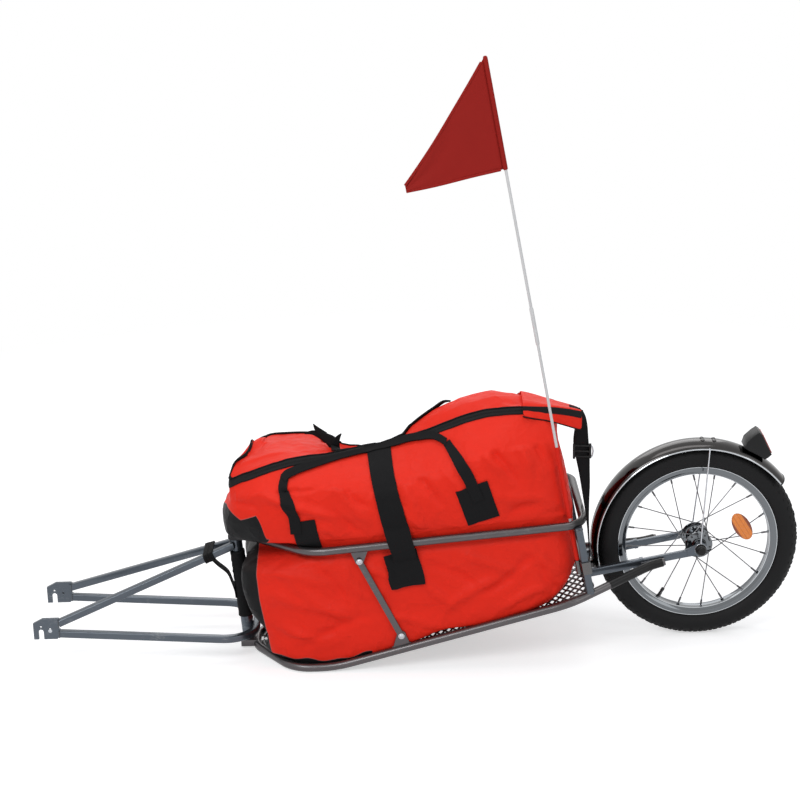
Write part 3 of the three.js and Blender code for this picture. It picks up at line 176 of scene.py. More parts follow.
def set_ground():
    bm = bmesh.new()
    bmesh.ops.create_grid(bm, x_segments=1, y_segments=1, size=9)
    bmesh.ops.translate(bm, verts=bm.verts, vec=(0, 0, -0.0005))
    mesh = bpy.data.meshes.new("ground")
    bm.to_mesh(mesh)
    bm.free()
    ground = bpy.data.objects.new("ground", mesh)
    bpy.context.scene.collection.objects.link(ground)
    material = bpy.data.materials.new("ground_sheet")
    material.use_nodes = True
    tree = material.node_tree
    tree.nodes.clear()
    paper = add_node(tree, "BsdfDiffuse", {"Color": PAPER})[0]
    glow = add_node(tree, "Emission", {"Strength": PAPER_GLOW})[0]
    lit = add_node(tree, "AddShader", {0: paper, 1: glow})[0]
    spot = add_node(tree, "TexCoord", {})["Object"]
    reach = add_node(tree, "VectorMath", {0: spot}, operation="LENGTH")["Value"]
    far = add_node(tree, "MapRange", {"Value": reach, "From Min": WHITE_FROM, "From Max": WHITE_AT})[0]
    fade = add_node(tree, "MixShader", {0: far, 1: lit, 2: add_node(tree, "Emission", {})[0]})[0]
    choose = add_node(tree, "MixShader", {0: seen_directly(tree), 1: paper, 2: fade})[0]
    add_node(tree, "OutputMaterial", {"Surface": choose})
    mesh.materials.append(material)


def set_scene():
    bpy.context.scene.view_settings.view_transform = "Standard"
    set_camera()
    set_world()
    set_ground()
    for lamp in LAMPS:
        area_lamp(*lamp)


# Effects shared by materials


def add_node(tree, kind, inputs, **settings):
    """A shader node; each input gets a value or is linked to an output. Gives the node's outputs."""
    node = tree.nodes.new("ShaderNode" + kind)
    for label, value in settings.items():
        setattr(node, label, value)
    for label, value in inputs.items():
        socket = node.inputs[label]
        if isinstance(value, bpy.types.NodeSocket):
            tree.links.new(value, socket)
        elif socket.type == "RGBA" and len(value) == 3:
            socket.default_value = (*value, 1)
        else:
            socket.default_value = value
    return node.outputs


def math_node(tree, operation, first, second=None, clamp=False):
    inputs = {0: first} if second is None else {0: first, 1: second}
    return add_node(tree, "Math", inputs, operation=operation, use_clamp=clamp)[0]


def noise_node(tree, vector, scale, detail=3.0, roughness=0.55):
    inputs = {"Vector": vector, "Scale": scale, "Detail": detail, "Roughness": roughness}
    return add_node(tree, "TexNoise", inputs)["Fac"]


def effect(name, vector, numbers, results):
    """A shader node group with a vector and some numbers as inputs; gives it, its inputs and its results."""
    group = bpy.data.node_groups.new(name, "ShaderNodeTree")
    group.interface.new_socket(name=vector, in_out="INPUT", socket_type="NodeSocketVector")
    for label, value in numbers.items():
        socket = group.interface.new_socket(name=label, in_out="INPUT", socket_type="NodeSocketFloat")
        socket.default_value = value
    for label in results:
        group.interface.new_socket(name=label, in_out="OUTPUT", socket_type="NodeSocketFloat")
    return group, group.nodes.new("NodeGroupInput").outputs, group.nodes.new("NodeGroupOutput").inputs


def build_mottle():
    """Slow changes of tone over a surface, with a finer grain in them."""
    group, given, result = effect("mottle", "Vector", {"Patch Size": 12.0, "Grain Size": 240.0, "Depth": 0.2},
                                  ("Tone", "Height"))
    calc = partial(math_node, group)
    patches = noise_node(group, given["Vector"], given["Patch Size"], 4)
    grain = noise_node(group, given["Vector"], given["Grain Size"], 2)
    mixed = calc("ADD", calc("MULTIPLY", patches, 0.7), calc("MULTIPLY", grain, 0.3))
    swing = calc("MULTIPLY", calc("SUBTRACT", mixed, 0.5), given["Depth"])
    group.links.new(calc("ADD", swing, 1.0), result["Tone"])
    group.links.new(grain, result["Height"])
    return group


def build_scuffs():
    """Fine worn lines and rubbed spots, as a mask."""
    group, given, result = effect("scuffs", "Vector", {"Size": 30.0, "Amount": 0.4}, ("Mask",))
    calc = partial(math_node, group)
    stretched = add_node(group, "Mapping", {"Vector": given["Vector"], "Scale": (0.25, 1.0, 1.0),
                                            "Rotation": (0.0, 0.5, 0.2)})[0]
    lines = noise_node(group, stretched, calc("MULTIPLY", given["Size"], 6.0), 2)
    spots = noise_node(group, given["Vector"], given["Size"], 5, 0.7)
    ridge = calc("ABSOLUTE", calc("SUBTRACT", lines, 0.5))
    thin = calc("SUBTRACT", 1.0, calc("MULTIPLY", ridge, 26.0), clamp=True)
    rubbed = calc("MULTIPLY", calc("SUBTRACT", spots, 0.52), 9.0, clamp=True)
    group.links.new(calc("MULTIPLY", calc("MULTIPLY", thin, rubbed), given["Amount"]), result["Mask"])
    return group


def build_dust():
    """Dust that settles on faces that look up."""
    group, given, result = effect("dust", "Vector", {"Amount": 0.1}, ("Mask",))
    calc = partial(math_node, group)
    facing = add_node(group, "SeparateXYZ", {0: add_node(group, "NewGeometry", {})["Normal"]})
    upward = calc("MULTIPLY", calc("SUBTRACT", facing["Z"], 0.2), 1.2, clamp=True)
    cloud = noise_node(group, given["Vector"], 26.0, 5, 0.65)
    group.links.new(calc("MULTIPLY", calc("MULTIPLY", upward, cloud), given["Amount"]), result["Mask"])
    return group


def build_weave():
    """Plain weave on a UV map in metres: height of the threads and the shade between them."""
    group, given, result = effect("weave", "UV", {"Threads": 900.0}, ("Height", "Shade"))
    calc = partial(math_node, group)
    parts = add_node(group, "SeparateXYZ", {0: given["UV"]})
    waves = [calc("SINE", calc("MULTIPLY", calc("MULTIPLY", parts[axis], given["Threads"]), math.pi))
             for axis in ("X", "Y")]
    warp = calc("MULTIPLY", *waves)
    group.links.new(calc("ADD", calc("MULTIPLY", warp, 0.5), 0.5), result["Height"])
    group.links.new(calc("ABSOLUTE", warp), result["Shade"])
    return group


MOTTLE, SCUFFS, DUST, WEAVE = build_mottle(), build_scuffs(), build_dust(), build_weave()


class Finish:
    """A material with a Principled shader, and the few links that most finishes here need."""

    def __init__(self, name, colour, roughness, metallic=0.0, **fixed):
        self.material = bpy.data.materials.new(name)
        self.material.use_nodes = True
        self.tree = self.material.node_tree
        self.shader = self.tree.nodes["Principled BSDF"]
        self.shader.inputs["Base Color"].default_value = (*colour, 1)
        self.shader.inputs["Roughness"].default_value = roughness
        self.shader.inputs["Metallic"].default_value = metallic
        for label, value in fixed.items():
            self.shader.inputs[label.replace("_", " ")].default_value = value
        self.colour = colour
        self.roughness = roughness
        self.colour_out = None
        self.roughness_out = None
        self.place = add_node(self.tree, "TexCoord", {})["Object"]
        self.math = partial(math_node, self.tree)

    def group(self, effect_group, vector_label="Vector", vector=None, **values):
        inputs = {label.replace("_", " "): value for label, value in values.items()}
        inputs[vector_label] = vector or self.place
        return add_node(self.tree, "Group", inputs, node_tree=effect_group)

    def uv(self):
        return add_node(self.tree, "UVMap", {}, uv_map="cloth")[0]

    def axes(self, vector):
        """The X, Y and Z of a vector, as outputs."""
        return add_node(self.tree, "SeparateXYZ", {0: vector})

    def prisms(self, across, along, turns):
        """Height of small domes in rows along two directions."""
        ridges = [self.math("ABSOLUTE", self.math("SINE", self.math("MULTIPLY", axis, turns)))
                  for axis in (across, along)]
        return self.math("MULTIPLY", *ridges)

    def woven(self, threads, strength, distance):
        """Raises threads along the UV map and gives the shade between them."""
        weave = self.group(WEAVE, "UV", self.uv(), Threads=threads)
        self.bump(weave["Height"], strength, distance)
        return weave["Shade"]

    def mix(self, fac, first, second):
        """A colour between two; each is a colour or an output."""
        return add_node(self.tree, "Mix", {0: fac, 6: first, 7: second}, data_type="RGBA")[2]

    def tone(self, patch=12.0, grain=240.0, depth=0.25, rough_swing=0.12, bump=0.0, bump_distance=0.0002):
        mottle = self.group(MOTTLE, Patch_Size=patch, Grain_Size=grain, Depth=depth)
        self.colour_out = add_node(self.tree, "VectorMath", {0: self.colour, "Scale": mottle["Tone"]},
                                   operation="SCALE")[0]
        swing = self.math("SUBTRACT", mottle["Tone"], 1.0)
        swing = self.math("MULTIPLY", swing, rough_swing / max(depth, 0.01) * 2)
        self.roughness_out = self.math("ADD", swing, self.roughness, clamp=True)
        if bump:
            self.bump(mottle["Height"], bump, bump_distance)
        return self

    def scuff(self, colour, size=30.0, amount=0.4, rough=0.1):
        mask = self.group(SCUFFS, Size=size, Amount=amount)["Mask"]
        self.colour_out = self.mix(mask, self.colour_out or self.colour, colour)
        if self.roughness_out is not None:
            wear_and_painted_shade = self.math("MULTIPLY", mask, rough)
            self.roughness_out = self.math("ADD", self.roughness_out, wear_and_painted_shade, clamp=True)
        return self

    def dust(self, colour=(0.35, 0.33, 0.30), amount=0.1):
        mask = self.group(DUST, Amount=amount)["Mask"]
        self.colour_out = self.mix(mask, self.colour_out or self.colour, colour)
        return self

    def bump(self, height, strength, distance):
        inputs = {"Strength": strength, "Distance": distance, "Height": height}
        earlier = self.shader.inputs["Normal"]
        if earlier.is_linked:
            inputs["Normal"] = earlier.links[0].from_socket
        self.tree.links.new(add_node(self.tree, "Bump", inputs)[0], earlier)
        return self

    def done(self):
        if self.colour_out is not None:
            self.tree.links.new(self.colour_out, self.shader.inputs["Base Color"])
        if self.roughness_out is not None:
            self.tree.links.new(self.roughness_out, self.shader.inputs["Roughness"])
        return self.material


def make_frame_paint():
    """Grey lacquer on the frame tubes; painted shade makes the rail's nose dull and nearly black, and its
    rear corners are darkened nearly to black too.
    """
    paint = Finish("frame_paint", (0.098, 0.092, 0.096), 0.32, 0.78, Coat_Weight=0.12, Coat_Roughness=0.2)
    paint.tone(9, 320, 0.35, 0.10, 0.06, 0.0002).scuff((0.20, 0.195, 0.19), 24, 0.45)
    parts = paint.axes(paint.place)
    nose_end, corner_start, rail_foot = place(-812, 0, 0).x, place(-272, 0, 0).x, 0.18
    ahead = paint.math("MULTIPLY", paint.math("SUBTRACT", nose_end, parts["X"]), 22.0, clamp=True)
    behind = paint.math("MULTIPLY", paint.math("SUBTRACT", parts["X"], corner_start), 60.0, clamp=True)
    high = paint.math("MULTIPLY", paint.math("SUBTRACT", parts["Z"], rail_foot), 20.0, clamp=True)
    wear_and_painted_shade = paint.math("MULTIPLY", paint.math("ADD", ahead, behind, clamp=True), high)
    # Painted shade darkens the rail's nose nearly to black beside the black nose panel; the same mask also
    # darkens the rail's rear corners.
    paint.colour_out = paint.mix(paint.math("MULTIPLY", wear_and_painted_shade, 0.92), paint.colour_out,
                                 (0.010, 0.010, 0.011))
    return paint.dust(amount=0.05).done()


def make_tail_lens():
    """Moulded red plastic: rows of small prisms across and up, with a painted glint lightening the prism
    domes.
    """
    colour, pitch = (0.32, 0.008, 0.006), 0.0046
    plastic = Finish("red_prisms", colour, 0.16, Coat_Weight=0.6, Coat_Roughness=0.06)
    plastic.tone(30, 300, 0.25, 0.05)
    parts = plastic.axes(plastic.place)
    height = plastic.prisms(parts["Y"], parts["Z"], 2 * math.pi / pitch)
    # Painted glint: the prism domes are mixed toward a lighter red.
    glint_colour = tuple(min(1.0, c * 1.9 + 0.01) for c in colour)
    plastic.colour_out = plastic.mix(plastic.math("MULTIPLY", height, 0.55), plastic.colour_out, glint_colour)
    return plastic.bump(height, 0.6, 0.0008).done()


def make_wheel_prisms():
    """Amber reflector: rows of prisms in three bands, darker along its long edges; a painted glint lightens
    the prism domes and painted shade darkens the grooves between the bands.
    """
    pitch, band_edge, groove_at = 0.0026, 0.0098, 0.0042
    plastic = Finish("amber_prisms", (0.86, 0.20, 0.006), 0.2, Coat_Weight=0.3, Coat_Roughness=0.06)
    parts = plastic.axes(plastic.uv())
    prisms = plastic.prisms(parts["X"], parts["Y"], math.pi / pitch)
    plastic.tone(30, 300, 0.2, 0.05)
    # Painted glint on the prism domes.
    prism_glint = plastic.math("MULTIPLY", prisms, 0.5)
    plastic.colour_out = plastic.mix(prism_glint, plastic.colour_out, (1.0, 0.42, 0.06))
    off = plastic.math("ABSOLUTE", parts["X"])
    outer = plastic.math("MULTIPLY", plastic.math("SUBTRACT", off, band_edge), 400.0, clamp=True)
    plastic.colour_out = plastic.mix(outer, plastic.colour_out, (0.28, 0.045, 0.003))
    # Painted shade in the grooves between the bands.
    groove = plastic.math("ABSOLUTE", plastic.math("SUBTRACT", off, groove_at))
    line = plastic.math("SUBTRACT", 1.0, plastic.math("MULTIPLY", groove, 1300.0), clamp=True)
    shade = plastic.math("MULTIPLY", line, 0.7)
    plastic.colour_out = plastic.mix(shade, plastic.colour_out, (0.42, 0.07, 0.003))
    return plastic.bump(prisms, 0.6, 0.0008).done()


def make_bag_cloth():
    """Bright red coated cloth; its nose panel and the trim along the floor are black with a pale cord."""
    cloth = Finish("bag_cloth", (0.84, 0.027, 0.012), 0.52, Specular_IOR_Level=0.12)
    cloth.tone(7, 90, 0.24, 0.12)
    panel = add_node(cloth.tree, "Attribute", {}, attribute_name="panel_edge")
    edge = cloth.math("SUBTRACT", panel["Fac"], 1.0)
    black = cloth.math("ADD", cloth.math("MULTIPLY", edge, 900.0), 0.5, clamp=True)
    cloth.colour_out = cloth.mix(black, cloth.colour_out, (0.007, 0.007, 0.0075))
    near = cloth.math("MULTIPLY", cloth.math("ABSOLUTE", edge), 900.0)
    cord = cloth.math("MULTIPLY", cloth.math("SUBTRACT", 1.0, near, clamp=True), 0.55)
    cloth.colour_out = cloth.mix(cord, cloth.colour_out, (0.30, 0.20, 0.19))
    cloth.woven(1100.0, 0.25, 0.00012)
    cloth.bump(noise_node(cloth.tree, cloth.place, 60.0, 5, 0.6), 0.3, 0.003)
    creases = noise_node(cloth.tree, cloth.place, 14.0, 3, 0.5)
    ridge = cloth.math("ABSOLUTE", cloth.math("SUBTRACT", creases, 0.5))
    sharp = cloth.math("SUBTRACT", 1.0, cloth.math("MULTIPLY", ridge, 9.0), clamp=True)
    cloth.bump(cloth.math("POWER", sharp, 2.0), 0.22, 0.005)
    return cloth.dust((0.55, 0.30, 0.26), 0.05).done()


def make_strap_web():
    """Black webbing: a weave with a painted highlight where its threads catch a little light."""
    band = Finish("webbing", (0.008, 0.008, 0.0085), 0.75, Specular_IOR_Level=0.1)
    band.tone(18, 260, 0.4, 0.1)
    shade = band.woven(620.0, 0.7, 0.0005)
    # Painted highlight on the threads.
    band.colour_out = band.mix(band.math("MULTIPLY", shade, 0.5), band.colour_out, (0.014, 0.014, 0.015))
    return band.dust((0.05, 0.048, 0.046), 0.07).done()


def make_zip_tape():
    """Fine teeth along the middle of a black tape."""
    tooth_pitch, tooth_reach = 0.0034, 0.0026
    tape = Finish("zip_tape", (0.008, 0.008, 0.0085), 0.6, Specular_IOR_Level=0.15)
    tape.tone(18, 260, 0.4, 0.1)
    parts = tape.axes(tape.uv())
    teeth = tape.math("SINE", tape.math("MULTIPLY", parts["X"], 2 * math.pi / tooth_pitch))
    middle = tape.math("ABSOLUTE", parts["Y"])
    line = tape.math("SUBTRACT", 1.0, tape.math("MULTIPLY", middle, 1 / tooth_reach), clamp=True)
    tape.bump(tape.math("MULTIPLY", teeth, line), 0.8, 0.0009)
    tape.woven(900.0, 0.4, 0.0003)
    return tape.done()


def make_light_cloth(name, colour, roughness, specular, tone, weave):
    cloth = Finish(name, colour, roughness, Specular_IOR_Level=specular).tone(*tone)
    cloth.woven(*weave)
    return cloth.done()


FRAME_PAINT = make_frame_paint()
FORK_PAINT = (Finish("fork_paint", (0.088, 0.103, 0.122), 0.30, 0.8, Coat_Weight=0.12, Coat_Roughness=0.15)
              .tone(8, 300, 0.4, 0.10, 0.06, 0.0002).scuff((0.26, 0.27, 0.28), 22,
                                                           0.45).dust(amount=0.04).done())
WELD = Finish("weld_metal", (0.095, 0.10, 0.11), 0.42, 0.75).tone(60, 600, 0.5, 0.15, 0.3, 0.0005).done()
# Chrome for the hub and the rim, its colour darkened far below bright chrome: a painted dark reflection. The
# scuffs are wear.
CHROME_PAINTED_DARK = (Finish("chrome", (0.15, 0.16, 0.17), 0.10, 1.0).tone(14, 400, 0.12, 0.08)
          .scuff((0.20, 0.20, 0.20), 40, 0.3).done())
# Bright chrome for the rim's edges and the fender's lips: a painted highlight along them, against the
# darkened chrome and fender sheet.
CHROME_PAINTED_HIGHLIGHT = Finish("chrome_painted_highlight", (0.52, 0.54, 0.56), 0.12, 1.0).tone(14, 400, 0.12, 0.08).done()
STEEL = (Finish("steel", (0.12, 0.118, 0.118), 0.27, 1.0).tone(30, 500, 0.4, 0.14)
         .scuff((0.16, 0.15, 0.14), 50, 0.4).done())
ZINC = Finish("zinc", (0.50, 0.52, 0.55), 0.3, 1.0).tone(40, 300, 0.4, 0.16).done()
# The fender's sheet metal, its colour darkened nearly to black: a painted dark reflection. The scuffs and
# dust are real.
FENDER_PAINTED_DARK = (Finish("fender_sheet_painted_dark", (0.052, 0.050, 0.050), 0.12, 1.0).tone(10, 200, 0.2, 0.07)
                .scuff((0.12, 0.12, 0.12), 30, 0.25).dust(amount=0.05).done())
RUBBER = (Finish("tyre_rubber", (0.009, 0.009, 0.0095), 0.6, Specular_IOR_Level=0.16)
          .tone(20, 900, 0.4, 0.14, 0.3, 0.0003).dust((0.05, 0.047, 0.045), 0.12).done())
BLACK_PLASTIC = (Finish("black_plastic", (0.009, 0.009, 0.0095), 0.36, Specular_IOR_Level=0.22)
                 .tone(25, 700, 0.3, 0.12, 0.15, 0.0002).dust((0.06, 0.058, 0.055), 0.07).done())
AMBER = make_wheel_prisms()
SPOKE_WIRE = Finish("spoke_wire", (0.10, 0.10, 0.105), 0.3, 1.0).tone(40, 500, 0.4, 0.1).done()
RED_LENS = make_tail_lens()
WHITE_FIBRE = (Finish("white_fibre", (0.66, 0.66, 0.66), 0.4).tone(20, 500, 0.12, 0.08)
               .dust((0.45, 0.44, 0.42), 0.05).done())
BAG_CLOTH = make_bag_cloth()
WEBBING = make_strap_web()
ZIP_TAPE = make_zip_tape()
FLAG_CLOTH = make_light_cloth("flag_cloth", (0.32, 0.016, 0.012), 0.7, 0.12, (12, 200, 0.2, 0.08),
                              (1300.0, 0.4, 0.00015))
POCKET_CLOTH = make_light_cloth("pocket_cloth", (0.70, 0.020, 0.010), 0.6, 0.15, (9, 120, 0.22, 0.1),
                                (1100.0, 0.25, 0.00012))

# Shaping


def finish_piece(name, bm, body, material, nodes=(), sharp=35, recalculate=True, uv=None):
    """Turns a bmesh in metres into a piece that rides on a body and stands for CAD nodes."""
    if recalculate:
        bmesh.ops.remove_doubles(bm, verts=bm.verts, dist=1e-6)
        bmesh.ops.recalc_face_normals(bm, faces=bm.faces)
    mesh = bpy.data.meshes.new(name)
    bm.to_mesh(mesh)
    bm.free()
    for each in material if isinstance(material, (list, tuple)) else [material]:
        mesh.materials.append(each)
    mesh.polygons.foreach_set("use_smooth", [True] * len(mesh.polygons))
    mesh.set_sharp_from_angle(angle=math.radians(sharp))
    piece = bpy.data.objects.new(name, mesh)
    bpy.context.scene.collection.objects.link(piece)
    if uv is not None:
        layer = mesh.uv_layers.new(name="cloth")
        points = np.array([uv(mesh.vertices[loop.vertex_index].co) for loop in mesh.loops], np.float32)
        layer.data.foreach_set("uv", points.ravel())
    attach(piece, body)
    if nodes:
        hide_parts(*nodes)
    return piece


def add_modifier(piece, kind, **values):
    modifier = piece.modifiers.new(kind.lower(), kind)
    for label, value in values.items():
        setattr(modifier, label, value)
    return modifier


def bent(corners, radii, step=5.0):
    """The line of a tube bent on a bench: straight runs and round bends, in millimetres."""
    points = [Vector(corners[0])]
    for before, corner, after, radius in zip(corners, corners[1:], corners[2:], radii):
        back = (Vector(before) - Vector(corner)).normalized()
        ahead = (Vector(after) - Vector(corner)).normalized()
        turn = math.pi - back.angle(ahead)
        if turn < 1e-4:
            continue
        centre = Vector(corner) + (back + ahead).normalized() * (radius / math.cos(turn / 2))
        start = Vector(corner) + back * (radius * math.tan(turn / 2)) - centre
        end = Vector(corner) + ahead * (radius * math.tan(turn / 2)) - centre
        count = max(2, round(math.degrees(turn) / step))
        for k in range(count + 1):
            t = k / count
            arm = (start * math.sin((1 - t) * turn) + end * math.sin(t * turn)) / math.sin(turn)
            points.append(centre + arm)
    points.append(Vector(corners[-1]))
    return points


def mirrored_line(points):
    near = [tuple(p) for p in points]
    return near + [(x, -y, z) for x, y, z in reversed(near)]


def round_ring(radius, count=24):
    angles = [2 * math.pi * (i + 0.5) / count for i in range(count)]
    return [(radius * math.cos(angle), radius * math.sin(angle)) for angle in angles]


def arc_points(x, y, radius, start, end, steps):
    """Points on an arc from one angle to another, in radians."""
    angles = [start + (end - start) * i / steps for i in range(steps + 1)]
    return [(x + radius * math.cos(angle), y + radius * math.sin(angle)) for angle in angles]


def grid_place(vert, columns, rows):
    """Column and row of a vertex in a fresh grid of size 1."""
    return round((vert.co.x + 0.5) * columns), round((vert.co.y + 0.5) * rows)


def fill_uv(bm, layer, uv_of):
    for face in bm.faces:
        for loop in face.loops:
            loop[layer].uv = uv_of(loop.vert)


def side_uv(co):
    return (co.x, co.z)


def from_metres(point):
    return Vector(((point.x - AXLE_X) * 1000, point.y * 1000, point.z * 1000))


def path_lengths(points):
    """How far each point lies along its line."""
    return np.concatenate([[0], np.cumsum(np.linalg.norm(np.diff(points, axis=0), axis=1))])


def between(t, low, high, low_slope, high_slope, step=1.0):
    """A smooth value between two, which leaves and arrives with the given slopes."""
    return ((2 * t ** 3 - 3 * t ** 2 + 1) * low + (t ** 3 - 2 * t ** 2 + t) * step * low_slope
            + (-2 * t ** 3 + 3 * t ** 2) * high + (t ** 3 - t ** 2) * step * high_slope)


def box_ring(width, height, corner, steps=4):
    """A rectangle with round corners; width is across the path, height along its up side."""
    ring = []
    for centre_x, centre_y, start in ((1, 1, 0), (-1, 1, 90), (-1, -1, 180), (1, -1, 270)):
        for k in range(steps + 1):
            angle = math.radians(start + 90 * k / steps)
            ring.append((centre_x * (width / 2 - corner) + corner * math.cos(angle),
                         centre_y * (height / 2 - corner) + corner * math.sin(angle)))
    return ring


def path_frames(points, up):
    """A matrix at each point of a line: its columns are across, up and along."""
    frames = []
    for i, point in enumerate(points):
        along = (points[min(i + 1, len(points) - 1)] - points[max(i - 1, 0)]).normalized()
        here = up[i] if isinstance(up, list) else up
        high = (here - along * here.dot(along)).normalized()
        across = high.cross(along).normalized()
        frames.append(Matrix(((across.x, high.x, along.x, point.x), (across.y, high.y, along.y, point.y),
                              (across.z, high.z, along.z, point.z), (0, 0, 0, 1))))
    return frames


def carry(bm, ring, frames, sizes=None):
    """Extrudes a closed outline from frame to frame; gives the edges of its first and last outline."""
    sizes = sizes or [1.0] * len(frames)
    verts = [bm.verts.new(frames[0] @ Vector((x / 1000, y / 1000, 0))) for x, y in ring]
    edges = [bm.edges.new((a, b)) for a, b in zip(verts, verts[1:] + verts[:1])]
    first = list(edges)
    for i, (before, after) in enumerate(zip(frames, frames[1:])):
        grown = bmesh.ops.extrude_edge_only(bm, edges=edges)["geom"]
        verts = {g for g in grown if isinstance(g, bmesh.types.BMVert)}
        edges = [g for g in grown if isinstance(g, bmesh.types.BMEdge) and all(v in verts for v in g.verts)]
        grow = sizes[i + 1] / sizes[i]
        move = after @ Matrix.Diagonal((grow, grow, 1, 1)) @ before.inverted()
        bmesh.ops.transform(bm, matrix=move, verts=list(verts))
    return first, edges


def sweep(bm, ring, points, up=Vector((0, 0, 1)), closed_ends=True):
    """Carries a closed outline along a line of points in millimetres, and closes both ends."""
    ends = carry(bm, ring, path_frames([place(*p) for p in points], up))
    if closed_ends:
        for edges in ends:
            bmesh.ops.edgeloop_fill(bm, edges=edges)


def turn_about(bm, profile, centre, axis, steps=48):
    """Spins a profile of (radius, place along the axis) about an axis through a point, in millimetres."""
    earlier = set(bm.verts)
    made = [bm.verts.new((r / 1000, 0, h / 1000)) for r, h in profile]
    edges = [bm.edges.new(pair) for pair in zip(made, made[1:])]
    bmesh.ops.spin(bm, geom=made + edges, cent=(0, 0, 0), axis=(0, 0, 1), angle=2 * math.pi, steps=steps,
                   use_merge=True)
    turn = Vector((0, 0, 1)).rotation_difference(Vector(axis).normalized()).to_matrix().to_4x4()
    bmesh.ops.transform(bm, matrix=Matrix.Translation(place(*centre)) @ turn,
                        verts=[v for v in bm.verts if v not in earlier])


def turn_on_axle(bm, profile, steps, side=1):
    turn_about(bm, profile, (0, 0, AXLE_Z), (0, side, 0), steps)


def slab(bm, outline, thickness, middle, rounding=0.6, flat="Y"):
    """A plate with rounded rims: (x, z) points standing at a Y, or (x, y) points lying at a Z."""
    half = thickness / 2
    if flat == "Y":
        verts = [bm.verts.new(place(x, middle - half, z)) for x, z in outline]
        push = Vector((0, thickness / 1000, 0))
    else:
        verts = [bm.verts.new(place(x, y, middle - half)) for x, y in outline]
        push = Vector((0, 0, thickness / 1000))
    face = bm.faces.new(verts)
    grown = bmesh.ops.extrude_face_region(bm, geom=[face])["geom"]
    top = [g for g in grown if isinstance(g, bmesh.types.BMVert)]
    bmesh.ops.translate(bm, verts=top, vec=push)
    around = [e for v in verts for e in v.link_edges] + [e for v in top for e in v.link_edges]
    rims = [e for e in set(around) if not (e.verts[0] in verts and e.verts[1] in top)
            and not (e.verts[1] in verts and e.verts[0] in top)]
    bmesh.ops.bevel(bm, geom=rims, offset=rounding / 1000, offset_type="OFFSET", segments=2, profile=0.5,
                    affect="EDGES", material=-1)


def weld_bead(bm, points, radius=1.7):
    """A rippled line of weld metal."""
    ripple, thin = 2.2, 0.78
    line = []
    for a, b in zip(points, points[1:]):
        count = max(1, int((Vector(b) - Vector(a)).length / ripple))
        line += [Vector(a).lerp(Vector(b), k / count) for k in range(count)]
    line.append(Vector(points[-1]))
    frames = path_frames([place(*p) for p in line], Vector((0.31, 0.42, 0.85)).normalized())
    sizes = [1.0] + [1.0 if i % 2 else thin for i in range(len(frames) - 1)]
    for edges in carry(bm, round_ring(radius, 8), frames, sizes):
        bmesh.ops.edgeloop_fill(bm, edges=edges)


def ring_bead(bm, centre, axis, radius, bead=1.6):
    """A weld bead round a tube's end."""
    axis = Vector(axis).normalized()
    side = axis.orthogonal().normalized()
    other = axis.cross(side)
    count = max(16, int(2 * math.pi * radius / 2.4))
    ring = arc_points(0, 0, radius, 0, 2 * math.pi, count)
    weld_bead(bm, [Vector(centre) + side * x + other * y for x, y in ring], bead)


def refined(node, name, material, body, bevel=0.8, sharp=40, segments=2):
    """A merged copy of a CAD node with its edges rounded."""
    bm = bmesh.new()
    bm.from_mesh(frame["nodes"][node].data)
    bmesh.ops.remove_doubles(bm, verts=bm.verts, dist=1e-6)
    bmesh.ops.dissolve_limit(bm, angle_limit=math.radians(1.0), verts=bm.verts, edges=bm.edges)
    piece = finish_piece(name, bm, body, material, (node,), sharp, recalculate=False)
    add_modifier(piece, "BEVEL", width=bevel / 1000, segments=segments, limit_method="ANGLE",
                 angle_limit=math.radians(32), profile=0.5)
    return piece


def rivet(bm, x, y, z, side, radius=4.4, height=2.6):
    """A domed rivet head on a washer, standing on a plate that faces along Y."""
    profile = [(0, 0), (radius + 1.6, 0), (radius + 1.6, 0.7), (radius, 0.9), (radius * 0.92, height * 0.55),
               (radius * 0.6, height * 0.9), (0, height)]
    turn_about(bm, profile, (x, y, z), (0, side, 0), 20)


# Frame

RAIL_CORNERS = ((-893, -14), (-767, -RAIL_HALF), (-239, -RAIL_HALF))
RAIL_LINE = bent(mirrored_line([on_rail(*corner) for corner in RAIL_CORNERS]), [90, 38, 38, 90])
LOWER_CORNERS = ((-75, -61.3), (-100, -61.3), (-265, -LOWER_HALF), (-725.4, -LOWER_HALF),
                 (-806, -LOWER_HALF), (-884, -30))
LOWER_LINE = bent(mirrored_line([on_lower(*corner) for corner in LOWER_CORNERS]),
                  [80, 150, 250, 70, 60, 60, 70, 250, 150, 80], 4)
STRUT_TOP, STRUT_FOOT = (-671, 232), (-594, 73)
POST_X, CROSS_X, CROSS_HEIGHT = -250, -226, 156
LUG_REAR, LUG_HEIGHT = -884, 236


def tab_outline(bolt, base, slope, half=18, round_radius=9):
    x, z = bolt
    turn = math.pi if base < z else -math.pi
    arc = arc_points(x, z, round_radius, 0, turn, 10)
    return [(x + half, base + slope * half), *arc, (x - half, base - slope * half)]


def make_upper_rail():
    bm = bmesh.new()
    sweep(bm, round_ring(RAIL_RADIUS, 28), RAIL_LINE)
    beads = bmesh.new()
    for side in (-1, 1):
        tab = tab_outline(STRUT_TOP, rail_height(STRUT_TOP[0]) - 4, RAIL_SLOPE)
        slab(bm, tab, 4, side * RAIL_HALF, 0.7)
        weld_bead(beads, [on_rail(x, side * (RAIL_HALF - 2.5), -8) for x in (-689, -653)], 1.3)
        ring_bead(beads, on_rail(POST_X, side * RAIL_HALF, -8.5), (0, 0, 1), 7.4, 1.5)
    tip = pivot_at(LUG_HEIGHT).x
    lug = [(tip - 14, -8), (tip - 8, -15), (LUG_REAR, -21), (LUG_REAR, 21), (tip - 8, 15), (tip - 14, 8)]
    slab(bm, lug, 9, LUG_HEIGHT - 0.5, 1.2, "Z")
    finish_piece("rail_tube", bm, "frame", FRAME_PAINT, ("upper_rail",), 30)
    weld_bead(beads, [(LUG_REAR - 2, y, 241) for y in (-19, 19)], 1.6)
    finish_piece("rail_welds", beads, "frame", WELD)


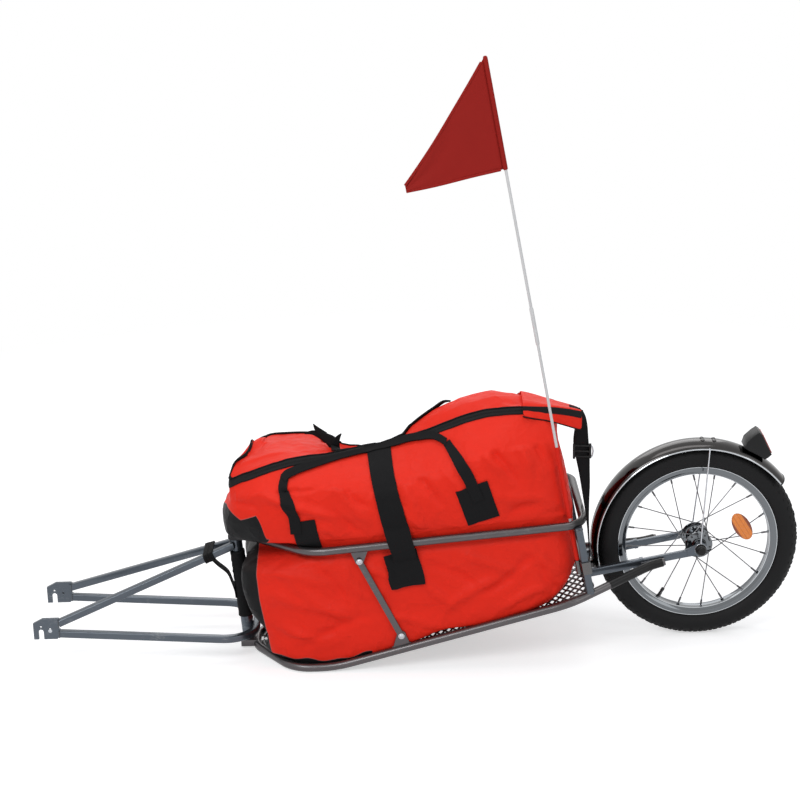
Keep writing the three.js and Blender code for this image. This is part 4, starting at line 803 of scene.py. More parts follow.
def make_lower_frame():
    end_x, end_y = LOWER_CORNERS[0][0] - 1, LOWER_CORNERS[0][1]
    bm = bmesh.new()
    sweep(bm, round_ring(RAIL_RADIUS, 28), LOWER_LINE)
    slab(bm, [(-915.7, -24), (LUG_REAR, -24), (LUG_REAR, 24), (-915.7, 24)], 14, 10, 1.4, "Z")
    beads = bmesh.new()
    for side in (-1, 1):
        gusset = tab_outline(STRUT_FOOT, lower_height(STRUT_FOOT[0]) + 4, LOWER_SLOPE)
        slab(bm, gusset, 4, side * RAIL_HALF, 0.7)
        turn_about(bm, [(0, 0), (7.4, 0), (7.4, 3.2), (6.6, 4.6), (0, 5.2)], on_lower(end_x, -side * end_y),
                   (1, 0, LOWER_SLOPE), 24)
        weld_bead(beads, [on_lower(x, side * (RAIL_HALF - 2.5), 8) for x in (-612, -576)], 1.3)
        weld_bead(beads, [(-118, side * 56, 176), (-84, side * 54.5, 182.5)], 1.8)
        ring_bead(beads, on_lower(CROSS_X + 2, side * 119, 8), (0, 0, 1), 7.4, 1.5)
    finish_piece("lower_tube", bm, "frame", FRAME_PAINT, ("lower_frame_tube",), 30)
    finish_piece("lower_tube_welds", beads, "frame", WELD)


def make_tube_ends():
    """Black sleeves on the rear ends of the lower tube."""
    start_x, sleeve_radius = -186, 8.9
    for side, word in SIDES:
        line = sorted([p for p in LOWER_LINE if p.y * side > 0], key=lambda p: p.x)
        first = next(i for i, p in enumerate(line) if p.x > start_x)
        a, b = line[first - 1], line[first]
        line = [a.lerp(b, (start_x - a.x) / (b.x - a.x))] + line[first:]
        line[-1] = line[-1].lerp(line[-2], 0.1)
        bm = bmesh.new()
        sweep(bm, round_ring(sleeve_radius, 28), line)
        rims = [e for e in bm.edges if len(e.link_faces) == 2 and e.calc_face_angle() > 1.2]
        bmesh.ops.bevel(bm, geom=rims, offset=0.0008, segments=2, affect="EDGES")
        finish_piece("tube_end_sleeve_" + word, bm, "frame", BLACK_PLASTIC)


FLOOR_REAR = -228
FLOOR_BORDER = 7.0
STRAND_PITCH_X, STRAND_PITCH_Y, STRAND_WIDTH = 15.6, 23.8, 4.2

def floor_edge(inset):
    """The floor's outline inside the lower tube, near half, from the rear to the nose."""
    reach = RAIL_RADIUS + 0.3 + inset
    half = LOWER_LINE[:len(LOWER_LINE) // 2]
    edge = []
    for i, p in enumerate(half):
        a, b = half[max(i - 1, 0)], half[min(i + 1, len(half) - 1)]
        along = Vector((b.x - a.x, b.y - a.y)).normalized()
        edge.append((p.x + along.y * reach, p.y - along.x * reach))
    rear = FLOOR_REAR - inset
    inside = [p for p in edge if p[0] < rear]
    x0, y0 = edge[len(edge) - len(inside) - 1]
    x1, y1 = inside[0]
    return [(rear, y0 + (y1 - y0) * (rear - x0) / (x1 - x0))] + inside


def make_floor_strands():
    """Expanded metal: small diamonds with raised strands, cut to the plain border's outline."""
    count, lattice_x, middle_x, rise = 56, -563, -560, 0.7
    bm = bmesh.new()
    bmesh.ops.create_grid(bm, x_segments=count, y_segments=count, size=0.5)
    across, along = STRAND_PITCH_X / 2 * count, STRAND_PITCH_Y / 2 * count
    diamond = Matrix(((across, across, 0, lattice_x), (along, -along, 0, 0), (0, 0, 1, 0), (0, 0, 0, 1)))
    bmesh.ops.transform(bm, matrix=diamond, verts=bm.verts)
    holes = list(bm.faces)
    bmesh.ops.inset_individual(bm, faces=holes, thickness=STRAND_WIDTH / 2, use_even_offset=True)
    bmesh.ops.delete(bm, geom=holes, context="FACES")
    field = [Vector((x, y, 0)) for x, y in floor_edge(FLOOR_BORDER - 3)]
    field += [Vector((p.x, -p.y, 0)) for p in reversed(field)]
    for a, b in zip(field, field[1:] + field[:1]):
        outward = (b - a).cross(Vector((0, 0, 1)))
        if outward.length < 1e-6:
            continue
        if outward.dot(a - Vector((middle_x, 0, 0))) < 0:
            outward.negate()
        bmesh.ops.bisect_plane(bm, geom=bm.verts[:] + bm.edges[:] + bm.faces[:], plane_co=a,
                               plane_no=outward,
                               clear_outer=True)
    for vert in bm.verts:
        x, y = vert.co.x, vert.co.y
        vert.co = place(*on_lower(x, y, rise * math.sin(2 * math.pi * x / STRAND_PITCH_X)))
    sheet = finish_piece("floor_strands", bm, "frame", FRAME_PAINT, ("floor_mesh",), 25,
                         recalculate=False)
    add_modifier(sheet, "SOLIDIFY", thickness=0.0016, offset=0)


def make_floor_border():
    edge_rise, strip = 0.9, Vector((0.004, 0, 0.0011))
    outer, inner = floor_edge(0), floor_edge(FLOOR_BORDER + 3)
    bm = bmesh.new()
    for sign in (-1, 1):
        for line in (outer, inner):
            loop = [bm.verts.new(place(*on_lower(x, sign * y, edge_rise))) for x, y in line]
            for a, b in zip(loop, loop[1:]):
                bm.edges.new((a, b))
        bmesh.ops.bridge_loops(bm, edges=[e for e in bm.edges if e.is_wire])
    near = [v for v in bm.verts if v.co.x > place(FLOOR_REAR - 2, 0, 0).x]
    rear_x = max(v.co.x for v in near)
    corners = sorted([v for v in near if abs(v.co.x - rear_x) < 1e-5], key=lambda v: v.co.y)
    left, right = corners[0].co.copy(), corners[-1].co.copy()
    bm.faces.new([bm.verts.new(spot) for spot in (left, right, right - strip, left - strip)])
    rim = finish_piece("floor_border", bm, "frame", FRAME_PAINT, (), 25)
    add_modifier(rim, "SOLIDIFY", thickness=0.0020, offset=0)


def make_posts_and_cross():
    for side, word in SIDES:
        top = (POST_X - 0.2, side * RAIL_HALF, rail_height(POST_X) - 3)
        bm = bmesh.new()
        sweep(bm, box_ring(14, 14, 2.2), [top, on_lower(CROSS_X + 2, side * 119.3, 3)], Vector((1, 0, 0)))
        node = "rear_post_" + word
        finish_piece("square_post_" + word, bm, "frame", FORK_PAINT, (node,), 40)
    bm = bmesh.new()
    sweep(bm, round_ring(RAIL_RADIUS, 28),
          [(CROSS_X, -113.5, CROSS_HEIGHT), (CROSS_X, 113.5, CROSS_HEIGHT)])
    finish_piece("cross_tube", bm, "frame", FRAME_PAINT, ("rear_cross_tube",), 40)
    beads = bmesh.new()
    rear = CROSS_X + RAIL_RADIUS
    for side in (-1, 1):
        ring_bead(beads, (CROSS_X, side * 113, CROSS_HEIGHT), (0, 1, 0), 8.2, 1.6)
        for z in (148.5, 163):
            weld_bead(beads, [(rear, side * 41.5, z), (rear, side * 52.5, z)], 1.5)
    weld_bead(beads, [(rear, -9, 163), (rear, 9, 163)], 1.5)
    finish_piece("cross_tube_welds", beads, "frame", WELD)


def make_struts():
    (ax, az), (bx, bz) = STRUT_TOP, STRUT_FOOT
    turn = math.atan2(bz - az, bx - ax)
    outline = [point for x, z, start in ((ax, az, turn + math.pi / 2), (bx, bz, turn - math.pi / 2))
               for point in arc_points(x, z, 6, start, start + math.pi, 10)]
    for side, word in SIDES:
        bm = bmesh.new()
        slab(bm, outline, 4, side * 140.3, 0.8)
        finish_piece("flat_strut_" + word, bm, "frame", FRAME_PAINT,
                     ("side_strut_" + word,), 40)
        bm = bmesh.new()
        for x, z in (STRUT_TOP, STRUT_FOOT):
            rivet(bm, x, side * 142.3, z, side)
            rivet(bm, x, side * 134, z, -side, 3.4, 2)
        finish_piece("strut_rivets_" + word, bm, "frame", ZINC)


def make_stays():
    # Each run of tube: its width, height and corner, and where it starts and ends
    runs = ((12, 16, 2.4, -219, -118), (12.6, 18, 2.4, -119, -112), (10, 14, 2.2, -116, -27))
    plate_front, weld_x, dropout_radius = -34, -28, 13
    for side, word in SIDES:
        y = side * STAY_HALF
        bm = bmesh.new()
        for width, height, corner, start, end in runs:
            sweep(bm, box_ring(width, height, corner), [on_stay(start, y), on_stay(end, y)])
        arc = arc_points(0, AXLE_Z, dropout_radius, math.radians(-100), math.radians(100), 20)
        front = [(plate_front, stay_height(plate_front) + rise) for rise in (6.3, -6.3)]
        slab(bm, arc + front, 5, y, 0.8)
        node = "wheel_stay_" + word
        finish_piece("stay_tube_" + word, bm, "frame", FORK_PAINT, (node,), 40)
        beads = bmesh.new()
        for off in (-3.4, 3.4):
            weld_bead(beads, [on_stay(weld_x, y + off, rise) for rise in (6.5, -6.5)], 1.2)
        finish_piece("stay_welds_" + word, beads, "frame", WELD)


def make_axle():
    bm = bmesh.new()
    half = [(4.75, -60), (4.75, -44.2), (7.6, -44.2), (7.6, -38.6), (6.4, -38.3), (8.6, -33.6),
            (8.6, -27.5), (4.75, -27.3)]
    profile = [(0, -62), (4.1, -62)] + half + [(r, -h) for r, h in reversed(half)] + [(4.1, 62), (0, 62)]
    turn_on_axle(bm, profile, 32)
    finish_piece("axle_rod", bm, "frame", ZINC, ("axle",), 30)
    cap = [(5.1, 52.1), (11.4, 52.1), (11.4, 53.2), (9.5, 53.6), (9.5, 60), (8.9, 63), (7.2, 65.2), (4, 66.0),
           (0, 66.1)]
    bore = [(5.1, 52.1), (5.1, 60), (0, 62.3)]
    for side, word in SIDES:
        bm = bmesh.new()
        turn_on_axle(bm, cap, 40, side)
        turn_on_axle(bm, bore, 24, side)
        finish_piece("cap_nut_" + word, bm, "frame", BLACK_PLASTIC,
                     ("axle_cap_nut_" + word,), 30)


# Wheel

HUB_HOLE, RIM_EDGE, RIM_HEIGHT = 22.5, 159.0, 17.0
FLANGE_AT, FLANGE_THICK = 26.0, 3.2
SPOKE_COUNT, SPOKE_STEP, SPOKE_CROSSING = 20, 18, 72


def make_hub():
    bm = bmesh.new()
    half = [(9.2, -27.3), (9.2, -32.4), (10.4, -33), (13.2, -33), (14, -32.2), (15, -28.6), (18, -27.6),
            (26.4, -27.6), (27, -27), (27, -25), (26.4, -24.4), (21, -24.4), (18.4, -23.2), (16.6, -20.5),
            (15.6, -16), (15.2, -8)]
    profile = [(5.7, -27.3)] + half + [(r, -h) for r, h in reversed(half)] + [(5.7, 27.3), (5.7, -27.3)]
    turn_on_axle(bm, profile, 64)
    finish_piece("hub_body", bm, "wheel", CHROME_PAINTED_DARK, ("hub_shell",), 30)


def spoke_lines():
    """For each spoke: hole in the flange, end at the rim, side, whether it bends outside and how far."""
    spokes = []
    for i in range(SPOKE_COUNT):
        rim_angle = math.radians(SPOKE_STEP * (i + 0.25))
        outside = (i // 2) % 2 == 0
        hub_angle = rim_angle + math.radians(-SPOKE_CROSSING if outside else SPOKE_CROSSING)
        side = 1 if i % 2 == 0 else -1
        away = FLANGE_THICK / 2 + 1.3 + (2.6 if outside else 0)
        hub_y = side * (FLANGE_AT + (away if outside else -away))
        rim_y = side * (3 + (1.5 if outside else 0))
        reach = RIM_EDGE - RIM_HEIGHT - 0.8
        hole = Vector((HUB_HOLE * math.cos(hub_angle), hub_y, AXLE_Z + HUB_HOLE * math.sin(hub_angle)))
        end = Vector((reach * math.cos(rim_angle), rim_y, AXLE_Z + reach * math.sin(rim_angle)))
        spokes.append((hole, end, side, outside, away))
    return spokes


SPOKES = spoke_lines()


def make_spokes():
    rivet_head = [(0, -0.2), (2.1, -0.2), (2.1, 0.5), (1.5, 1.3), (0, 1.6)]
    nipple = [(1.05, 0), (1.9, 0.4), (1.9, 6.4), (1.75, 6.7), (1.95, 7.2), (2.0, 12.2), (0, 12.4)]
    for i, (hole, end, side, outside, away) in enumerate(SPOKES):
        bm = bmesh.new()
        inward = Vector((0, -side if outside else side, 0))
        head = hole + inward * (away + FLANGE_THICK / 2 + 0.2)
        turn = math.radians(SPOKE_STEP * i + 31)
        up = Vector((math.sin(turn), 0.2, math.cos(turn))).normalized()
        sweep(bm, round_ring(1.0, 8), bent([head, hole, end], [3.2], 12), up)
        turn_about(bm, rivet_head, head, inward, 12)
        direction = (end - hole).normalized()
        turn_about(bm, nipple, end - direction * 12, direction, 12)
        name = "spoke_%02d" % (i + 1)
        finish_piece("bent_" + name, bm, "wheel", SPOKE_WIRE, (name,), 40)


def make_rim():
    bm = bmesh.new()
    profile = [(143.6, 0), (143.2, 5), (142.6, 8.6), (143.6, 9.6), (146.5, 10.5), (149.6, 12),
               (150.4, 12.4), (157.4, 12.5), (158.6, 12.3), (159.1, 11.7), (158.8, 11.1), (157.6, 10.9),
               (150.5, 10.8), (146.5, 8.6), (145.2, 6), (145, 0)]
    whole = profile + [(r, -h) for r, h in reversed(profile[1:-1])] + [profile[0]]
    turn_on_axle(bm, whole, 128)
    finish_piece("rim_hoop", bm, "wheel", CHROME_PAINTED_DARK, ("rim",), 24)
    bm = bmesh.new()
    eyelet = [(0, -0.6), (3.2, -0.6), (3.2, 0.2), (2.4, 0.6), (0, 0.6)]
    for _, end, _, _, _ in SPOKES:
        direction = (end - Vector((0, end.y, AXLE_Z))).normalized()
        turn_about(bm, eyelet, end + direction * 0.8, direction, 12)
    finish_piece("rim_eyelets", bm, "wheel", ZINC)
    # Thin rings of bright chrome on the rim's edges: a painted highlight line.
    bm = bmesh.new()
    for side in (-1, 1):
        for edge in (((157.2, 12.4), (158.6, 12.7), (159.4, 12.2), (159.2, 11.2), (157.2, 12.4)),
                     ((142.9, 8.6), (143.3, 9.9), (144.4, 10.2), (143.9, 8.9), (142.9, 8.6))):
            turn_on_axle(bm, edge, 128, side)
    finish_piece("rim_edge_highlights", bm, "wheel", CHROME_PAINTED_HIGHLIGHT, (), 30)


def make_tyre():
    centre, outside, inside = 176.5, 22.2, 19.5
    casing = arc_points(centre, 0, outside, math.radians(-138), math.radians(138), 46)
    hollow = arc_points(centre, 0, inside, math.radians(144), math.radians(-144), 24)
    bead = [(159.8, 12.6), (159.6, 10.2), (154, 10), (154, 7)]
    profile = casing + bead + hollow + [(r, -h) for r, h in reversed(bead)]
    bm = bmesh.new()
    turn_on_axle(bm, profile + [profile[0]], 144)
    finish_piece("tyre_casing", bm, "wheel", RUBBER, ("tyre",), 40)
    make_tread(centre)


def make_tread(centre):
    """Rows of small blocks: each row's angle across the tyre, its blocks' width and length, and how many."""
    block_height, sunk, slant = 1.8, 22.0, 18
    rows = ((0, 9.0, 7.0, 46), (15, 7.0, 5.0, 60), (-15, 7.0, 5.0, 60), (31, 6.0, 6.0, 60),
            (-31, 6.0, 6.0, 60), (50, 8.5, 4.6, 60), (-50, 8.5, 4.6, 60))
    bm = bmesh.new()
    for angle, wide, long, count in rows:
        tilt = math.radians(angle)
        block = bmesh.ops.create_cube(bm, size=1.0)["verts"]
        shift = 0.5 if abs(angle) in (15, 50) else 0.0
        skew = Matrix.Rotation(math.radians(slant * ((angle > 0) - (angle < 0))), 4, "X")
        size = Matrix.Diagonal((block_height / 1000, wide / 1000, long / 1000, 1))
        bmesh.ops.transform(bm, matrix=skew @ size, verts=block)
        lift = Matrix.Rotation(tilt, 4, "Z")
        spot = ((centre + sunk * math.cos(tilt)) / 1000, sunk * math.sin(tilt) / 1000, 0)
        bmesh.ops.transform(bm, matrix=Matrix.Translation(spot) @ lift, verts=block)
        start = Matrix.Rotation(shift * 2 * math.pi / count, 4, "Y")
        bmesh.ops.transform(bm, matrix=start, verts=block)
        faces = list({f for v in block for f in v.link_faces})
        bmesh.ops.spin(bm, geom=block + faces, cent=(0, 0, 0), axis=(0, 1, 0),
                       angle=2 * math.pi * (count - 1) / count, steps=count - 1, use_duplicate=True)
    bmesh.ops.transform(bm, matrix=Matrix.Translation(place(0, 0, AXLE_Z)), verts=bm.verts)
    finish_piece("tyre_tread", bm, "wheel", RUBBER, (), 40)


def make_reflector():
    piece = refined("wheel_reflector", "amber_reflector", AMBER, "wheel", 1.4, 40, 4)
    low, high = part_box("wheel_reflector")
    middle = (Vector(low) + Vector(high)) / 2
    hole, end = SPOKES[1][:2]
    along = Vector((end.x - hole.x, 0, end.z - hole.z)).normalized()
    across = Vector((-along.z, 0, along.x))
    layer = piece.data.uv_layers.get("cloth") or piece.data.uv_layers.new(name="cloth")
    for loop in piece.data.loops:
        spot = piece.data.vertices[loop.vertex_index].co - middle
        layer.data[loop.index].uv = (spot.dot(along), spot.dot(across))


def make_valve():
    bm = bmesh.new()
    angle = math.radians(SPOKE_STEP * 12 + 22)
    direction = Vector((math.cos(angle), 0, math.sin(angle)))
    foot = Vector((0, 0, AXLE_Z)) + direction * 143.4
    profile = [(3.6, 0), (3.6, 3), (3.0, 5), (2.9, 14), (3.4, 14.4), (3.4, 21), (2.6, 22), (0, 22)]
    turn_about(bm, profile, foot, -direction, 16)
    finish_piece("valve_stem", bm, "wheel", BLACK_PLASTIC, (), 30)


# Fender and lamp


def arc_point(radius, degrees, y=0.0):
    angle = math.radians(degrees)
    return Vector((radius * math.cos(angle), y, AXLE_Z + radius * math.sin(angle)))


FENDER_FROM, FENDER_TO, FENDER_STEPS = 196.0, 38.0, 72
WHEEL_CENTRE = Vector((0, 0, AXLE_Z))


def fender_arc(radius, y=0.0):
    turn = FENDER_TO - FENDER_FROM
    return [arc_point(radius, FENDER_FROM + turn * i / FENDER_STEPS, y) for i in range(FENDER_STEPS + 1)]


def make_fender():
    """A crowned sheet with a rolled bead along both lips, swept over the wheel."""
    swings = [math.radians(-90 + 180 * i / 24) for i in range(25)]
    outer = [(29 * math.sin(swing), 12 * (math.cos(swing) - 1)) for swing in swings]
    inner = [(27.6 * math.sin(swing), 10.6 * (math.cos(swing) - 1) - 1.5) for swing in swings]
    arc = fender_arc(213)
    ups = [(p - WHEEL_CENTRE).normalized() for p in arc]
    bm = bmesh.new()
    sweep(bm, outer + inner[::-1], arc, ups)
    # The rolled lips in bright chrome: a painted highlight along them.
    lips = bmesh.new()
    for side in (-1, 1):
        sweep(lips, round_ring(1.6, 10), fender_arc(201.3, side * 28.2), ups)
    finish_piece("fender_lip_highlights", lips, "frame", CHROME_PAINTED_HIGHLIGHT)
    studs = bmesh.new()
    for angle, y in ((88.6, -6), (82.4, -6), (88.6, 6), (82.4, 6)):
        spot = arc_point(212.4, angle, y)
        out = (spot - Vector((0, y, AXLE_Z))).normalized()
        turn_about(studs, [(0, 0), (4.2, 0), (4.2, 1.2), (3.2, 2.6), (1.2, 3.1), (0, 3.2)], spot, out, 20)
    finish_piece("fender_studs", studs, "frame", STEEL)
    slab(bm, [(-217.5, 149), (-217.5, 163), (-203, 163), (-203, 149)], 20, 0, 1.0)
    finish_piece("fender_sheet_painted_dark", bm, "frame", FENDER_PAINTED_DARK, ("fender",), 35)
    crown = [(212.2 + 12 * (math.cos(swing) - 1), 28.6 * math.sin(swing)) for swing in swings]
    for word, angle in (("front", FENDER_FROM), ("rear", FENDER_TO)):
        bm = bmesh.new()
        rim = [arc_point(radius, angle, y) for radius, y in crown]
        sweep(bm, round_ring(1.9, 10), rim, (rim[12] - WHEEL_CENTRE).normalized())
        finish_piece("fender_lip_" + word, bm, "frame", BLACK_PLASTIC)


def make_fender_stays():
    eyelet = [(5.1, 49.8), (11.6, 49.8), (12, 50.3), (12, 51.4), (11.6, 51.8), (5.1, 51.8), (5.1, 49.8)]
    for side, word in SIDES:
        bm = bmesh.new()
        outward = side * 51.3
        top = arc_point(201, 85.5, side * 30.8)
        line = bent([(0, outward, AXLE_Z + 9.5), (0, outward, AXLE_Z + 18), tuple(top)], [14], 6)
        line += [top + Vector((x, -side * y, z)) for x, y,
                 z in ((0.1, 1.0, 1.4), (0.2, 3.0, 1.9), (0.3, 6, 1.2))]
        sweep(bm, round_ring(1.5, 10), line, Vector((1, 0, 0)))
        turn_on_axle(bm, eyelet, 32, side)
        finish_piece("stay_wire_" + word, bm, "frame", ZINC, ("fender_stay_" + word,), 40)


def make_lamp():
    """A tall black wedge on the fender's crown; the red lens fills its steep rear face."""
    width, lens_width, lens_reach, crown_radius = 44, 37, 1.8, 214.2
    side_view = [(86, 397.5), (90, 411), (103, 423), (113, 430), (119, 426), (139.5, 383), (133, 377)]
    foot = arc_points(0, AXLE_Z, crown_radius, math.radians(54), math.radians(66), 6)
    bm = bmesh.new()
    slab(bm, side_view + foot[:-1], width, 0, 2.6)
    finish_piece("lamp_housing", bm, "frame", BLACK_PLASTIC, ("tail_lamp_housing",), 40)
    low, high = Vector((138.2, 0, 385.8)), Vector((120.0, 0, 423.8))
    out = Vector((high.z - low.z, 0, low.x - high.x)).normalized()
    ring = [low - out, low + out * lens_reach, high + out * lens_reach, high - out]
    bm = bmesh.new()
    slab(bm, [(p.x, p.z) for p in ring], lens_width, 0, 0.9)
    finish_piece("lamp_lens", bm, "frame", RED_LENS, ("tail_lamp_lens",), 40)


# Tow fork

LEG_HALF, LEG_FRONT, LEG_FRONT_HEIGHT, LEG_TOP = 87, -367, 94.8, 220


def fork_point(forward, y, z):
    """A point of the fork, counted along X from the foot of the pivot."""
    return (PIVOT_FOOT + forward, y, z)


def make_hitch_plates():
    for side, word in SIDES:
        refined("hitch_plate_" + word, "hitch_claw_" + word, FORK_PAINT, "tow_fork")
        bm = bmesh.new()
        rivet(bm, PIVOT_FOOT - 384, side * 90, 80, side, 2.2, 1.6)
        finish_piece("claw_pin_" + word, bm, "tow_fork", ZINC)


def make_fork_tubes():
    beads = bmesh.new()
    for side, word in SIDES:
        start = Vector(fork_point(LEG_FRONT, side * LEG_HALF, LEG_FRONT_HEIGHT))
        end = Vector(fork_point(pivot_at(LEG_TOP).x - PIVOT_FOOT, side * 9, LEG_TOP))
        bm = bmesh.new()
        sweep(bm, box_ring(14, 14, 2.4), [start, start.lerp(end, 0.985)])
        finish_piece("upper_leg_" + word, bm, "tow_fork", FORK_PAINT,
                     ("fork_upper_tube_" + word,), 40)
        for off in (-7.2, 7.2):
            for low, high in ((88, 102), (66.5, 80)):
                weld_bead(beads, [fork_point(-366, side * LEG_HALF + off, z) for z in (low, high)], 1.3)
    make_bow()
    make_head_tube()
    for z in (41.5, 55):
        weld_bead(beads, [(pivot_at(z).x + 11.9, y, z) for y in (-9, -4, 0, 4, 9)], 1.5)
    for z in (212, 227):
        weld_bead(beads, [(pivot_at(z).x - 12, y, z) for y in (-10, -4, 0, 4, 10)], 1.5)
    finish_piece("fork_welds", beads, "tow_fork", WELD)


def make_bow():
    """The lower tube: both legs and the bend behind the head tube."""
    height, front_height, head_radius, half_tube = 48, 73, 12.5, 7.3
    base = pivot_at(height).x - PIVOT_FOOT + head_radius + half_tube
    rise = (height - front_height) / 366
    corners = mirrored_line([fork_point(x, -LEG_HALF, height + rise * x) for x in (LEG_FRONT, base)])
    bm = bmesh.new()
    sweep(bm, box_ring(14, 14, 2.4), bent(corners, [66, 66], 4))
    finish_piece("lower_bow", bm, "tow_fork", FORK_PAINT, ("fork_lower_tube",), 40)


def make_head_tube():
    profile = [(5.3, 0), (12.2, 0), (12.5, 0.5), (12.5, 6), (12.1, 6.6), (12.1, 205), (12.5, 205.6),
               (12.5, 212.2), (12.2, 212.6), (5.3, 212.6), (5.3, 0)]
    bm = bmesh.new()
    turn_about(bm, profile, pivot_at(17.5), PIVOT_AXIS, 40)
    finish_piece("head_tube", bm, "tow_fork", FORK_PAINT, ("fork_head_tube",), 35)


def make_pivot_pin():
    top, knob_radius, ribs = 241.5, 8.0, 12
    foot = pivot_at(2.4)
    profile = [(0, 0), (4.4, 0.2), (5, 1), (5, top - 3), (7.4, top - 2.4), (knob_radius, top - 1.4),
               (knob_radius, top + 8), (7.2, top + 10.4), (5, top + 12), (0, top + 12.6)]
    bm = bmesh.new()
    turn_about(bm, profile, foot, PIVOT_AXIS, 32)
    side = PIVOT_AXIS.orthogonal().normalized()
    for x, y in arc_points(0, 0, knob_radius, 0, 2 * math.pi, ribs)[:-1]:
        low = foot + PIVOT_AXIS * (top - 0.6) + (side * x + PIVOT_AXIS.cross(side) * y)
        sweep(bm, round_ring(0.7, 6), [low, low + PIVOT_AXIS * 8], Vector((0, 1, 0.1)))
    finish_piece("pivot_bolt", bm, "frame", ZINC, ("pivot_pin",), 35)


# Bag

# Each row goes round the bag's near side from the middle of the nose to the middle of the rear: (x, |y|)
ROW_FLOOR = [(-845, 0), (-845, 36), (-837, 70), (-815, 102), (-780, 121), (-735, 126), (-600, 127),
             (-450, 127), (-360, 124), (-314, 110), (-297, 80), (-292, 0)]
ROW_LOW = [(-862, 0), (-862, 44), (-862, 72), (-854, 98), (-832, 117), (-788, 130), (-735, 132.5),
           (-600, 133), (-450, 133), (-345, 131), (-290, 118), (-273, 90), (-268, 50), (-267, 0)]
ROW_STEP = [(-844, 0), (-844, 50), (-848, 78), (-854, 100), (-834, 118), (-792, 130), (-738, 133.5),
            (-600, 134), (-450, 134), (-340, 132), (-272, 114), (-257, 90), (-252, 50), (-251, 0)]
ROW_WALL = [(-887, 0), (-889, 40), (-893, 66), (-890, 86), (-876, 104), (-842, 118), (-795, 129),
            (-740, 134), (-600, 135), (-450, 135), (-330, 132), (-285, 122), (-262, 107), (-252, 88),
            (-249, 50), (-249, 0)]
ROW_UPPER_WALL = [(-896, 0), (-897, 28), (-902, 54), (-903, 78), (-890, 100), (-852, 116), (-795, 128),
                  (-740, 132), (-600, 133), (-450, 133), (-325, 131), (-281, 118), (-262, 96), (-254, 60),
                  (-251, 0)]
ROW_UNDER_RAIL = [(-874, 0), (-874, 18), (-852, 39), (-820, 69), (-785, 98), (-745, 118), (-700, 124),
                  (-600, 125.5), (-450, 125.5), (-310, 125), (-272, 112), (-257, 84), (-253, 50), (-252, 0)]
ROW_OVER_RAIL = [(-876, 0), (-876, 24), (-856, 58), (-828, 90), (-792, 114), (-750, 126), (-700, 129),
                 (-600, 130), (-450, 130), (-308, 129), (-272, 113), (-258, 84), (-254, 50), (-253, 0)]
ROW_OVERHANG = [(-932, 0), (-932, 38), (-922, 66), (-898, 92), (-855, 116), (-802, 128), (-750, 132),
                (-700, 134), (-600, 134), (-450, 134), (-310, 131), (-275, 113), (-262, 84), (-257, 50),
                (-256, 0)]
ROW_SHOULDER = [(-936, 0), (-936, 42), (-930, 72), (-905, 104), (-868, 126), (-808, 137), (-740, 139),
                (-600, 139), (-450, 139), (-325, 134), (-288, 114), (-273, 84), (-267, 50), (-266, 0)]
ROW_HIGH = [(-908, 0), (-916, 38), (-920, 72), (-898, 106), (-864, 124), (-810, 130), (-740, 128),
            (-660, 118), (-600, 116), (-520, 120), (-440, 124), (-345, 119), (-298, 101), (-284, 72),
            (-281, 0)]
# The zip line has heights of its own: (x, |y|, z)
ZIP_LINE = [(-906, 0, 405), (-911, 24, 399), (-916, 46, 387), (-918, 66, 371), (-898, 79, 384),
            (-876, 87, 395), (-852, 90, 405), (-828, 89, 412), (-780, 82, 419), (-751, 76, 421),
            (-713, 62, 422), (-674, 46, 424), (-636, 36, 427), (-587, 36, 439), (-553, 43, 450),
            (-509, 53, 468), (-466, 61, 487), (-418, 66, 501), (-371, 69, 505), (-323, 69, 504),
            (-293, 66, 502), (-285, 40, 500), (-283, 0, 498)]
CROWN = [(-906, 405), (-893, 410), (-872, 414), (-855, 419), (-816, 424), (-767, 426), (-738, 425),
         (-718, 420), (-700, 411), (-685, 404), (-665, 399), (-636, 400), (-610, 408), (-590, 426),
         (-563, 458), (-522, 486), (-468, 511), (-407, 525), (-366, 520), (-318, 508), (-283, 496)]
# How far the lid's far side sinks below the near one: (x, drop)
FAR_DROP = [(-940, -27), (-905, -27), (-890, -19), (-876, -10), (-862, -5), (-850, -2), (-820, 1),
            (-770, 4), (-740, 8), (-700, 24), (-640, 35), (-590, 28), (-540, 14), (-480, 10), (-420, 12),
            (-370, 20), (-320, 27), (-280, 31), (-230, 36)]
ZIP_HALF = 8.5
NOSE_PUSH = 40
# The underside stands clear of the floor about here
GAP_X, GAP_LENGTH, GAP_HEIGHT = -512, 46, 11


def smooth_line(points, count):
    """Points evenly spaced along a smooth line through the given ones."""
    knots = np.array(points, float)
    chord = np.concatenate([[0], np.cumsum(np.linalg.norm(np.diff(knots[:, :2], axis=0), axis=1) ** 0.9)])
    fine = np.linspace(0, chord[-1], 600)
    gaps = np.diff(chord)
    result = []
    for axis in range(knots.shape[1]):
        values = knots[:, axis]
        slopes = np.zeros(len(values))
        rates = np.diff(values) / gaps
        for i in range(1, len(values) - 1):
            if rates[i - 1] * rates[i] > 0:
                slopes[i] = 2 / (1 / rates[i - 1] + 1 / rates[i])
        slopes[0], slopes[-1] = rates[0], rates[-1]
        index = np.clip(np.searchsorted(chord, fine, side="right") - 1, 0, len(gaps) - 1)
        t = (fine - chord[index]) / gaps[index]
        after = index + 1
        result.append(between(t, values[index], values[after], slopes[index], slopes[after], gaps[index]))
    line = np.stack(result, 1)
    length = path_lengths(line)
    spots = np.linspace(0, length[-1], count)
    return np.stack([np.interp(spots, length, line[:, axis]) for axis in range(line.shape[1])], 1)


BAG_COLUMNS = 201


def slump(x, y, z):
    """The full bag leans: the far side of its lid sinks, and the far corner of its nose is pushed in."""
    share = ease(y, -8, 58) * ease(z, 300, 400)
    push = NOSE_PUSH * ease(y, -64, 58) * ease(-x, 840, 905) * ease(z, 300, 362)
    return Vector((x + push, y, z - float(along_table(x, FAR_DROP)) * share))


